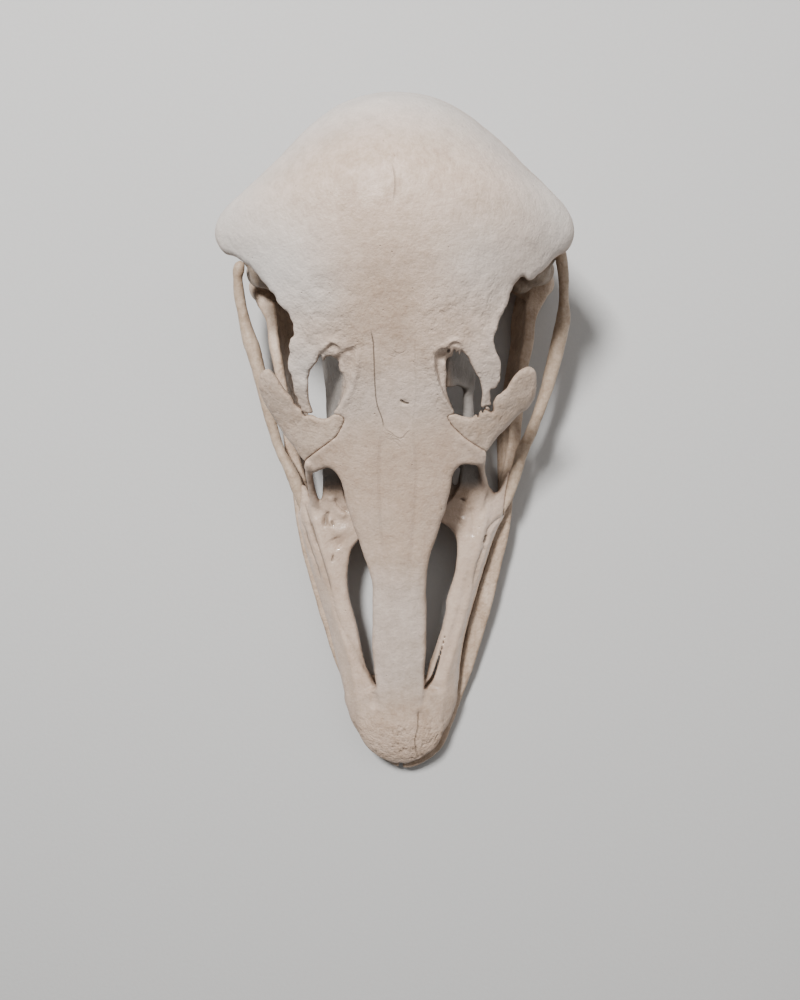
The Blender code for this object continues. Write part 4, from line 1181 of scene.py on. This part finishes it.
boneLooks = {
    "cranium": {"pale": (0.59, 0.46, 0.375, 1), "dull": (0.39, 0.28, 0.205, 1),
                "gloss": 0.5, "streak": 0.25},
    "lacrimal": {"pale": (0.56, 0.44, 0.355, 1), "dull": (0.37, 0.27, 0.2, 1),
                 "gloss": 0.48, "streak": 0.3},
    "jugal": {"pale": (0.52, 0.405, 0.31, 1), "dull": (0.32, 0.23, 0.16, 1),
              "gloss": 0.42, "streak": 0.7},
    # a darker copy of the bone: painted shade for the bones hidden under the skull
    "inner": {"pale": (0.4, 0.32, 0.255, 1), "dull": (0.25, 0.19, 0.14, 1),
              "gloss": 0.55, "streak": 0.4},
    "mandible": {"pale": (0.57, 0.445, 0.345, 1), "dull": (0.36, 0.255, 0.18, 1),
                 "gloss": 0.46, "streak": 0.7},
}
boneTones = {  # what the bone's colour runs towards in turn, and how far at most
    # paler, cooler colour: painted light on the dome's rim and brows, partly paler bone
    "litPale": ((0.62, 0.62, 0.61, 1), 0.72),
    "brown": ((0.38, 0.265, 0.19, 1), 0.5),
    # painted shade in crevices and recesses, also standing for brown stain there
    "hollow": ((0.13, 0.08, 0.05, 1), 0.78),
    # a grey for bone under the roof's overhang: painted shade, laid over the real shadow
    "deep": ((0.185, 0.183, 0.178, 1), 0.85),
    "pore": ((0.13, 0.08, 0.05, 1), 0.4),
    "dent": ((0.13, 0.08, 0.05, 1), 0.25),
    "crack": ((0.09, 0.065, 0.045, 1), 0.85),
}
boneGrain = {  # millimetres across, detail and roughness of each kind of unevenness
    "clouds": (22, 3, 0.55), "mottle": (5.2, 5, 0.62), "speckle": (1.7, 4, 0.55), "grain": (0.6, 3, 0.55),
    "streaks": (1.5, 4, 0.55), "porePatches": (3.1, 2, 0.55), "dents": (1.3, 1, 0.55),
    "dentPatches": (5.0, 1, 0.55),
}
boneShade = {  # from where to where each unevenness counts, and its share in the shade
    "clouds": (0.38, 0.62, 0.26), "mottle": (0.4, 0.62, 0.26), "speckle": (0.4, 0.62, 0.24),
    "grain": (0.38, 0.64, 0.24),
}
boneRelief = {"grain": 0.1, "speckle": 0.16, "mottle": 0.2}  # millimetres
boneFinish = {
    "poreSpacing": 1.7,  # millimetres
    "streakRelief": 0.14,
    "poreDepth": 0.14,
    "crackDepth": 0.35,
    "coarse": {"speckle": 0.8, "grain": 0.4, "dents": 0.45},  # where the skin is coarse
    "polishPales": 0.45,
    "polishSmooths": 0.36,
    "mottleRoughens": 0.1,
    "hollowRoughens": 0.15,
    "bump": 0.8,
    "sheen": 0.42,
    "coat": 0.9,
    "coatRoughness": 0.07,
}

# kept at each point of a piece for its finish, its painted shade and its painted light
pointValues = ("hollow", "seam", "depth", "polish", "litPale", "brown", "deep", "rough")


def perMillimetre(size):
    return 1 / (size * skull["unit"])


def boneMaterial(name):
    look, finish = boneLooks[name], boneFinish
    material, tree = emptyMaterial("bone_" + name)
    place = addNode(tree, "ShaderNodeTexCoord", out=3)

    def noise(kind, vector=place):
        size, detail, rough = boneGrain[kind]
        sockets = {"Vector": vector, "Scale": perMillimetre(size), "Detail": detail, "Roughness": rough}
        return addNode(tree, "ShaderNodeTexNoise", {}, sockets)

    def stretched(along):
        return addNode(tree, "ShaderNodeMapping", {}, {"Vector": place, "Scale": (1, along, 1)})

    def spread(value, low, high):
        sockets = {"Value": value, "From Min": low, "From Max": high}
        return addNode(tree, "ShaderNodeMapRange", {"interpolation_type": "SMOOTHSTEP"}, sockets)

    def attribute(label):
        return addNode(tree, "ShaderNodeAttribute", {"attribute_name": label}, out=2)

    hollow, seam, depth, polish, litPale, brown, deep, coarse = (attribute(label) for label in pointValues)
    grains = {kind: noise(kind) for kind in boneShade}
    streaks = noise("streaks", stretched(0.09))
    sockets = {"Vector": place, "Scale": perMillimetre(finish["poreSpacing"])}
    pores = addNode(tree, "ShaderNodeTexVoronoi", {"feature": "F1"}, sockets)
    pore = (1 - spread(pores, 0.05, 0.17)) * spread(noise("porePatches"), 0.5, 0.72)
    away = addNode(tree, "ShaderNodeMath", {"operation": "ABSOLUTE"}, {0: seam})
    crack = (1 - spread(away, 0.1, 0.34)) * depth
    dents = spread(noise("dents", stretched(0.55)), 0.5, 0.74) * spread(noise("dentPatches"), 0.35, 0.55)
    shade = sum(spread(grains[kind], low, high) * share for kind, (low, high, share) in boneShade.items())
    shade = shade + spread(streaks, 0.35, 0.75) * look["streak"] * 0.5
    shade = shade * (1 - polish * finish["polishPales"])
    shares = {"litPale": litPale, "brown": brown, "hollow": hollow, "deep": deep, "pore": pore, "crack": crack,
              "dent": dents * coarse}
    tone = mixColours(tree, shade, look["pale"], look["dull"])
    for key, (colour, most) in boneTones.items():
        tone = mixColours(tree, shares[key] * most, tone, colour)
    rough = look["gloss"] + spread(grains["mottle"], 0.3, 0.7) * finish["mottleRoughens"]
    rough = rough + hollow * finish["hollowRoughens"] - polish * finish["polishSmooths"]
    height = sum(grains[kind] * amount for kind, amount in boneRelief.items())
    height = height + streaks * (finish["streakRelief"] * look["streak"]) - pore * finish["poreDepth"]
    amounts = finish["coarse"]
    pitted = grains["speckle"] * amounts["speckle"] + grains["grain"] * amounts["grain"]
    height = height + coarse * (pitted - dents * amounts["dents"]) - crack * finish["crackDepth"]
    sockets = {"Strength": finish["bump"], "Distance": skull["unit"], "Height": height}
    bump = addNode(tree, "ShaderNodeBump", {}, sockets)
    endMaterial(tree, {
        "Base Color": tone, "Roughness": rough, "Normal": bump, "Specular IOR Level": finish["sheen"],
        "Coat Weight": polish * finish["coat"], "Coat Roughness": finish["coatRoughness"],
    })
    return material


def startTree(name, inputs):
    # a tree with named inputs: their wires, and the identifiers by which a modifier sets them
    tree = bpy.data.node_groups.new(name, "GeometryNodeTree")
    ids = {}
    for label, kind in inputs.items():
        socket = tree.interface.new_socket(label, in_out="INPUT", socket_type="NodeSocket" + kind)
        ids[label] = socket.identifier
    tree.interface.new_socket("Geometry", in_out="OUTPUT", socket_type="NodeSocketGeometry")
    start = tree.nodes.new("NodeGroupInput")
    return tree, ids, {label: Wire(tree, start.outputs[label]) for label in inputs}


def endTree(tree, shape, bone):
    whole = addNode(tree, "GeometryNodeRealizeInstances", {}, {0: shape})
    done = addNode(tree, "GeometryNodeSetMaterial", {}, {"Geometry": whole, "Material": bone})
    addNode(tree, "NodeGroupOutput", {}, {0: done})


def pushOut(tree, shape, distance):
    normal = addNode(tree, "GeometryNodeInputNormal")
    move = addNode(tree, "ShaderNodeVectorMath", {"operation": "SCALE"}, {0: normal, "Scale": distance})
    return addNode(tree, "GeometryNodeSetPosition", {}, {"Geometry": shape, "Offset": move})


def named(tree, label):
    return addNode(tree, "GeometryNodeInputNamedAttribute", {"data_type": "FLOAT"}, {"Name": label})


def pitTree():
    # small pits strewn over a surface where its attribute pitZone says so
    tree, ids, given = startTree("bone pits", {
        "Geometry": "Geometry", "Pits per square metre": "Float", "Smallest radius": "Float",
        "Largest radius": "Float", "Depth": "Float", "Seed": "Int", "Bone": "Material",
    })
    density = named(tree, "pitZone") * given["Pits per square metre"]
    scatter = {"Mesh": given["Geometry"], "Density": density, "Seed": given["Seed"]}
    method = {"distribute_method": "RANDOM"}
    points = addNode(tree, "GeometryNodeDistributePointsOnFaces", method, scatter)
    size = addNode(tree, "FunctionNodeRandomValue", {"data_type": "FLOAT"},
                   {2: given["Smallest radius"], 3: given["Largest radius"], "Seed": given["Seed"]}, out=1)
    away = addNode(tree, "GeometryNodeProximity", {"target_element": "POINTS"}, {0: points}, out=1)
    nearest = addNode(tree, "GeometryNodeSampleNearest", {"domain": "POINT"}, {0: points})
    radius = addNode(tree, "GeometryNodeSampleIndex", {"data_type": "FLOAT", "domain": "POINT"},
                     {"Geometry": points, "Value": size, "Index": nearest})
    share = away / radius
    bowl = addNode(tree, "ShaderNodeMath", {"operation": "MAXIMUM"}, {0: 1 - share * share, 1: 0.0})
    sink = bowl * bowl * (radius / given["Largest radius"]) * given["Depth"] * -1.0
    endTree(tree, pushOut(tree, given["Geometry"], sink), given["Bone"])
    return tree, ids


def cheekTree():
    # an oval rod along a path, with its own radius at each point and a slightly uneven skin
    tree, ids, given = startTree("cheek rod", {
        "Path": "Geometry", "Steps along": "Int", "Sides": "Int", "Width for its height": "Float",
        "Unevenness": "Float", "Unevenness per metre": "Float", "Bone": "Material",
    })
    curve = addNode(tree, "GeometryNodeMeshToCurve", {}, {0: given["Path"]})
    radius = named(tree, "radius")
    curve = addNode(tree, "GeometryNodeSetCurveRadius", {}, {"Curve": curve, "Radius": radius})
    sockets = {"Curve": curve, "Count": given["Steps along"]}
    curve = addNode(tree, "GeometryNodeResampleCurve", {}, sockets)
    curve = addNode(tree, "GeometryNodeSetCurveNormal", {"mode": "Z_UP"}, {0: curve})
    ring = addNode(tree, "GeometryNodeCurvePrimitiveCircle", {"mode": "RADIUS"},
                   {"Resolution": given["Sides"], "Radius": 1.0})
    scale = addNode(tree, "ShaderNodeCombineXYZ", {}, {0: given["Width for its height"], 1: 1.0, 2: 1.0})
    ring = addNode(tree, "GeometryNodeTransform", {}, {"Geometry": ring, "Scale": scale})
    tube = addNode(tree, "GeometryNodeCurveToMesh", {},
                   {"Curve": curve, "Profile Curve": ring, "Scale": radius, "Fill Caps": True})
    sockets = {"Scale": given["Unevenness per metre"], "Detail": 2.0}
    bumps = addNode(tree, "ShaderNodeTexNoise", {}, sockets)
    endTree(tree, pushOut(tree, tube, (bumps - 0.5) * given["Unevenness"]), given["Bone"])
    return tree, ids


# From clay to pieces

def toFrame(points):
    return (points + skull["shift"]) * skull["unit"]


def fromFrame(points):
    return points / skull["unit"] - skull["shift"]


def addObject(name, data):
    thing = bpy.data.objects.new(name, data)
    bpy.context.scene.collection.objects.link(thing)
    return thing


def objectFrom(name, points, faces):
    mesh = bpy.data.meshes.new(name)
    mesh.vertices.add(len(points))
    mesh.vertices.foreach_set("co", np.asarray(points, np.float32).ravel())
    mesh.loops.add(faces.size)
    mesh.loops.foreach_set("vertex_index", faces.ravel().astype(np.int32))
    mesh.polygons.add(len(faces))
    mesh.polygons.foreach_set("loop_start", np.arange(0, faces.size, faces.shape[1], dtype=np.int32))
    mesh.update(calc_edges=True)
    mesh.validate()
    return addObject(name, mesh)


def readPoints(values, key):
    numbers = np.zeros(len(values) * 3, np.float32)
    values.foreach_get(key, numbers)
    return numbers.reshape(-1, 3).astype(float)


def movePoints(mesh, points):
    mesh.vertices.foreach_set("co", toFrame(points).astype(np.float32).ravel())
    mesh.update()


def setAttribute(mesh, label, values):
    layer = mesh.attributes.get(label) or mesh.attributes.new(label, "FLOAT", "POINT")
    layer.data.foreach_set("value", np.asarray(values, np.float32))


def keepResult(thing, modifier):
    # what the modifier makes becomes the object's own mesh, and the modifier goes
    graph = bpy.context.evaluated_depsgraph_get()
    made = bpy.data.meshes.new_from_object(thing.evaluated_get(graph), depsgraph=graph)
    thing.modifiers.remove(modifier)
    old = thing.data
    thing.data = made
    bpy.data.meshes.remove(old)


def runTree(thing, tree, ids, values):
    modifier = thing.modifiers.new(tree.name, "NODES")
    modifier.node_group = tree
    for label, value in values.items():
        modifier[ids[label]] = value
    keepResult(thing, modifier)


def thinOut(thing, most):
    triangles = sum(len(face.vertices) - 2 for face in thing.data.polygons)
    if triangles > most:
        modifier = thing.modifiers.new("Thin out", "DECIMATE")
        modifier.ratio = most / triangles
        keepResult(thing, modifier)


def creviceShade(clay, points, normals):
    # how much each point lies in a crevice, for the painted shade there: the clay around it is nearer than
    # open air would be
    total = 0
    for reach, share in skin["crevices"]:
        total = total + share * np.clip(1 - clay.sample(points + normals * reach) / reach, 0, 1.4)
    return np.clip((total - skin["openAir"]) * skin["darkening"], 0, 1)


def seamValues(points, normals, lines):
    # the signed distance across the nearest seam in millimetres, and how strong the seam is there
    across = np.full(len(points), farFromSeams)
    strength = np.zeros(len(points))
    nearest = np.full(len(points), veryFar)
    for line, width, depth in lines:
        some = np.flatnonzero(((points > line.min(0) - 3) & (points < line.max(0) + 3)).all(1))
        for k, (a, b) in enumerate(zip(line, line[1:])):
            run = b - a
            t = np.clip(((points[some] - a) @ run) / (run @ run), 0, 1)
            away = points[some] - a - t[:, None] * run
            distance = np.linalg.norm(away, axis=1)
            sideways = np.cross(run, normals[some])
            sideways /= np.maximum(np.linalg.norm(sideways, axis=1), 1e-6)[:, None]
            value = (away * sideways).sum(1)
            place = (k + t) / (len(line) - 1)
            fade = rise(np.minimum(place, 1 - place), 0, 0.12) * (1 - rise(np.abs(value), 0.8, 1.5))
            fade *= 1 - rise(distance, 1.6, 2.6)
            closer = distance < nearest[some]
            chosen = some[closer]
            nearest[chosen] = distance[closer]
            across[chosen] = value[closer] * 0.2 / width
            strength[chosen] = depth * fade[closer]
    return across, strength


def onRoof(line, count=24):
    # a line in plan, with a slight waver, laid on the upper surface
    line = smoothLine(line, count)
    waver = 0.12 * tinyLumps.at(line[:, 0], line[:, 1], 7)
    x, y = line[:, 0] + waver, line[:, 1]
    return np.stack([x, y, roofTop(x, y)], 1)


patches = {  # x, y, radius and strength of each
    # pale spots of painted light, partly paler bone
    "litSpots": [
        (-26, 46, 12, 0.8), (22, 46, 11, 0.5), (-16, 38, 6, 0.3), (-4.2, -16, 3, 0.2), (-20, 24, 5, 0.3),
    ],
    "brown": [
        (0, -6, 16, 0.9), (0, -22, 9, 0.5), (-6, 6, 5, 0.4), (9, 5, 6, 0.5), (0, 50, 13, 0.5),
        (0, 36, 8, 0.4), (14, 12, 5, 0.4), (-16, -24, 6, 0.5), (-17, -13, 4, 0.35), (18, -17, 5, 0.5),
        (8, -80, 6, 0.5), (-9, -78, 7, 0.35), (2, -70, 5, 0.2), (-14, 34, 7, 0.25), (17, 34, 7, 0.25),
        (24, 24, 4, 0.3), (0, -84, 6, 0.3), (21, -32, 5, 0.4), (-22, -36, 8, 0.5), (-16, -56, 9, 0.4),
        (15, -56, 7, 0.3), (-17, -23, 2.2, 0.8),
    ],
}


def beakPits(points, normals):
    # where small pits are strewn, and on the lower jaw in the next
    return (1 - rise(points[:, 1], -84, -70)) * rise(normals[:, 2], 0.1, 0.5)


def jawPits(points, normals):
    return 0.6 * (1 - rise(points[:, 1], -86, -68))


def polishedBars(points, normals):
    # the bars beside the nostrils shine, the bird's left one more
    x, y, z = points.T
    bar = rise(np.abs(x), 8.5, 11) * (1 - rise(y, -16, -8)) * rise(y, -70, -62) * (1 - rise(z, 18, 21))
    return bar * np.where(x > 0, 1.0, 0.45)


def coarseZones(points, normals):
    # the beak's tip and the brows have a rougher, pitted skin
    x, y, z = points.T
    tip = 1 - rise(y, -82, -72)
    brow = rise(y, 10, 16) * (1 - rise(y, 36, 46)) * rise(np.abs(x), 4, 10) * rise(z, 40, 46)
    return np.clip(0.75 * tip + 0.16 * brow + 0.1, 0, 1) * rise(normals[:, 2], -0.2, 0.4)


def litRimZones(points, normals):
    # the dome's rim and a few patches are paler and cooler where they face up, painted light that is partly
    # paler bone, and so is the bar between the nostrils
    x, y, z = points.T
    rim = rise(np.hypot(x / 1.15, y - 48), 20, 44) * rise(z, 40, 56)
    bar = 0.3 * (1 - rise(np.abs(x), 6, 8)) * (1 - rise(y, -40, -20)) * rise(y, -74, -60)
    return np.clip((rim + spotted(patches["litSpots"], x, y) + bar) * rise(normals[:, 2], 0, 0.5), 0, 1)


def brownZones(points, normals):
    return np.clip(spotted(patches["brown"], points[:, 0], points[:, 1]), 0, 1)


def roofShadowMask(points, normals):
    # painted shade: how far below the skull's upper surface a point lies, where that covers it and shadows
    # it
    x, y, z = points.T
    drop = roofTop(x, y) - z
    hidden = rise(drop, 3, 7) * (1 - rise(drop, 26, 34)) * rise(normals[:, 2], -0.6, 0)
    return hidden * rise(y, -9, -5) * (1 - rise(np.abs(x), 21, 24))


plainSkin = {"polish": 0, "litPale": 0, "brown": 0, "deep": roofShadowMask, "rough": 0.2}  # a number or a rule
boneKinds = {  # the most triangles of each, its finish, its slot and what its skin has of its own
    "cranium": {
        "most": 196000, "look": "cranium", "slot": "cranium_bone", "pits": beakPits,
        "skin": {"polish": polishedBars, "litPale": litRimZones, "brown": brownZones, "rough": coarseZones},
    },
    "lacrimal": {"most": 26000, "look": "lacrimal", "slot": "cranium_bone"},
    # the quadrates and pterygoids take the darker look, as painted shade
    "quadrate": {"most": 22000, "look": "inner", "slot": "inner_bone"},
    "pterygoid": {"most": 9000, "look": "inner", "slot": "inner_bone"},
    "jugal_arch": {"look": "jugal", "slot": "cheek_bone"},
    "mandible": {
        "most": 110000, "look": "mandible", "slot": "jaw_bone", "pits": jawPits, "skin": {"deep": 0},
    },
}
skin = {
    "crevices": ((0.9, 0.45), (2.2, 0.35), (3.6, 0.2)),  # how far out to look for other bone, and the share
    "openAir": 0.12,  # what an even surface sees
    # how strongly crevices take the painted shade
    "darkening": 1.5,
    "uneven": [(Lumps(7.0, 21), 0.13), (Lumps(2.4, 22), 0.075), (Lumps(1.0, 23), 0.03)],  # and their heights
    "pits": {"Pits per square metre": 0.28e6, "Smallest radius": 0.00035, "Largest radius": 0.0009,
             "Depth": 0.0002, "Seed": skull["seed"]},
    "rod": {"Steps along": 260, "Sides": 28, "Width for its height": 1.05,
            "Unevenness": 0.00035, "Unevenness per metre": perMillimetre(3.4)},
}
pitGroup, pitIds = pitTree()
cheekGroup, cheekIds = cheekTree()
materials = {name: boneMaterial(name) for name in boneLooks}


def claim(thing, node, kind):
    # the piece's finish, the node it stands for and the body it rides on
    mesh = thing.data
    mesh.materials.clear()
    mesh.materials.append(materials[kind["look"]])
    if mesh.attributes.get("pitZone"):
        mesh.attributes.remove(mesh.attributes["pitZone"])
    mesh.shade_smooth()
    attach(thing, "root")
    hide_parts(node)
    print("  ", thing.name, len(mesh.polygons), "faces")


def finishPiece(node, kindName, clay, lines=(), turned=False):
    kind = boneKinds[kindName]
    points, faces = clay.skin()
    points = clay.settle(points)
    thing = objectFrom(node + "_bone", points, faces)
    mesh = thing.data
    normals = readPoints(mesh.vertex_normals, "vector")
    for lumps, amount in skin["uneven"]:
        points = points + normals * (amount * lumps.at(*points.T))[:, None]
    if turned:
        points[:, 2] = np.maximum(points[:, 2], 0)
    movePoints(mesh, points)
    if "pits" in kind:
        setAttribute(mesh, "pitZone", kind["pits"](points, normals))
        runTree(thing, pitGroup, pitIds, {**skin["pits"], "Bone": materials[kind["look"]]})
    thinOut(thing, kind["most"])
    mesh = thing.data
    points = fromFrame(readPoints(mesh.vertices, "co"))
    normals = readPoints(mesh.vertex_normals, "vector")
    across, strength = seamValues(points, normals, lines)
    values = {"hollow": creviceShade(clay, points, normals), "seam": across, "depth": strength}
    for label, rule in {**plainSkin, **kind.get("skin", {})}.items():
        values[label] = rule(points, normals) if callable(rule) else np.full(len(points), rule)
    for label in pointValues:
        setAttribute(mesh, label, values[label])
    if turned:
        movePoints(mesh, turnJaw(points))
    claim(thing, node, kind)


def makeCheek(side, name):
    node = "jugal_arch_" + name
    line = smoothLine(cheekRod[side], 90)
    mesh = bpy.data.meshes.new(node)
    mesh.from_pydata(toFrame(line[:, :3]).tolist(), [(k, k + 1) for k in range(len(line) - 1)], [])
    setAttribute(mesh, "radius", line[:, 3] * skull["unit"])
    thing = addObject(node + "_bone", mesh)
    runTree(thing, cheekGroup, cheekIds, {**skin["rod"], "Bone": materials["jugal"]})
    count = len(thing.data.vertices)
    for label in pointValues:
        setAttribute(thing.data, label, np.full(count, farFromSeams if label == "seam" else 0))
    claim(thing, node, boneKinds["jugal_arch"])


print("modelling the cranium")
craniumClay, jawLines = makeCranium()
roofLines = [(onRoof(line), width, depth) for line, width, depth in marks["seams"]]
finishPiece("cranium", "cranium", craniumClay, roofLines + jawLines)
print("modelling the loose bones")
for side, name in bothSides:
    finishPiece("lacrimal_" + name, "lacrimal", makeLacrimal(name, side, craniumClay))
    quadrateClay = makeQuadrate(side, craniumClay)
    finishPiece("quadrate_" + name, "quadrate", quadrateClay)
    finishPiece("pterygoid_" + name, "pterygoid", makePterygoid(side, craniumClay, quadrateClay))
    makeCheek(side, name)
print("modelling the lower jaw")
finishPiece("mandible", "mandible", makeLowerJaw(), turned=True)


# Camera, light and floor

view = {
    "eye": (0.01446, 0.00896, 0.29613),  # metres, above the skull
    "turn": 3.0,  # degrees, how far it looks from the bird's left
    "tip": 4.0,  # degrees, and from behind
    "lens": 36.0,
    "filmWidth": 36.0,
    "nearest": 0.01,  # metres, what it can still see
}


def placeCamera():
    turn, tip = math.radians(view["turn"]), math.radians(view["tip"])
    right = Vector((math.cos(turn), 0, -math.sin(turn)))
    level = math.cos(tip)
    back = Vector((math.sin(turn) * level, math.cos(turn) * math.sin(tip), math.cos(turn) * level))
    back.normalize()
    up = back.cross(right)
    data = bpy.data.cameras.new("camera")
    data.lens = view["lens"]
    data.sensor_width = view["filmWidth"]
    data.clip_start = view["nearest"]
    camera = addObject("camera", data)
    camera.matrix_world = Matrix.Translation(view["eye"]) @ Matrix((right, up, back)).transposed().to_4x4()
    bpy.context.scene.camera = camera


studio = {
    "key": {
        "place": (-0.15, 0.3, 0.64), "aim": (0, 0, 0.03), "size": 0.11, "power": 10.4,
        "tone": (1, 0.985, 0.965),
    },
    "top": {
        "place": (0.16, 0.22, 0.6), "aim": (0, 0, 0.03), "size": 0.4, "power": 1.0,
        "tone": (1, 0.975, 0.95),
    },
    "side": {
        "place": (0.48, -0.05, 0.32), "aim": (0, 0, 0.02), "size": 0.4, "power": 0.7,
        "tone": (1, 0.97, 0.94),
    },
    "air": (0.3, 0.31, 0.33, 1),
    "airPower": 0.15,
}


def placeLights():
    for name in ("key", "top", "side"):
        given = studio[name]
        data = bpy.data.lights.new(name, "AREA")
        data.shape = "SQUARE"
        data.size = given["size"]
        data.energy = given["power"]
        data.color = given["tone"]
        light = addObject(name, data)
        facing = (Vector(given["aim"]) - Vector(given["place"])).to_track_quat("-Z", "Y")
        light.matrix_world = Matrix.Translation(given["place"]) @ facing.to_matrix().to_4x4()
    world = bpy.data.worlds.new("studio air")
    world.use_nodes = True
    air = world.node_tree.nodes["Background"]
    air.inputs["Color"].default_value = studio["air"]
    air.inputs["Strength"].default_value = studio["airPower"]
    bpy.context.scene.world = world


floorPaper = {
    "half": 2.0,  # metres, from its middle to its edges
    "dark": (0.46, 0.46, 0.458, 1),
    "light": (0.49, 0.49, 0.488, 1),
    "fibresPerMetre": 900.0,
    "fibreHeight": 0.0005,
    "roughness": 0.85,
}


def placeFloor():
    half = floorPaper["half"]
    corners = np.array([(-half, -half, 0), (half, -half, 0), (half, half, 0), (-half, half, 0)])
    floor = objectFrom("floor", corners, np.array([[0, 1, 2, 3]]))
    material, tree = emptyMaterial("floor paper")
    place = addNode(tree, "ShaderNodeTexCoord", out=3)
    sockets = {"Vector": place, "Scale": floorPaper["fibresPerMetre"], "Detail": 3.0}
    fibres = addNode(tree, "ShaderNodeTexNoise", {}, sockets)
    tone = mixColours(tree, fibres, floorPaper["dark"], floorPaper["light"])
    sockets = {"Strength": 0.1, "Distance": floorPaper["fibreHeight"], "Height": fibres}
    bump = addNode(tree, "ShaderNodeBump", {}, sockets)
    endMaterial(tree, {"Base Color": tone, "Roughness": floorPaper["roughness"], "Normal": bump})
    floor.data.materials.append(material)


placeCamera()
placeLights()
placeFloor()
print("camera, light and floor placed")
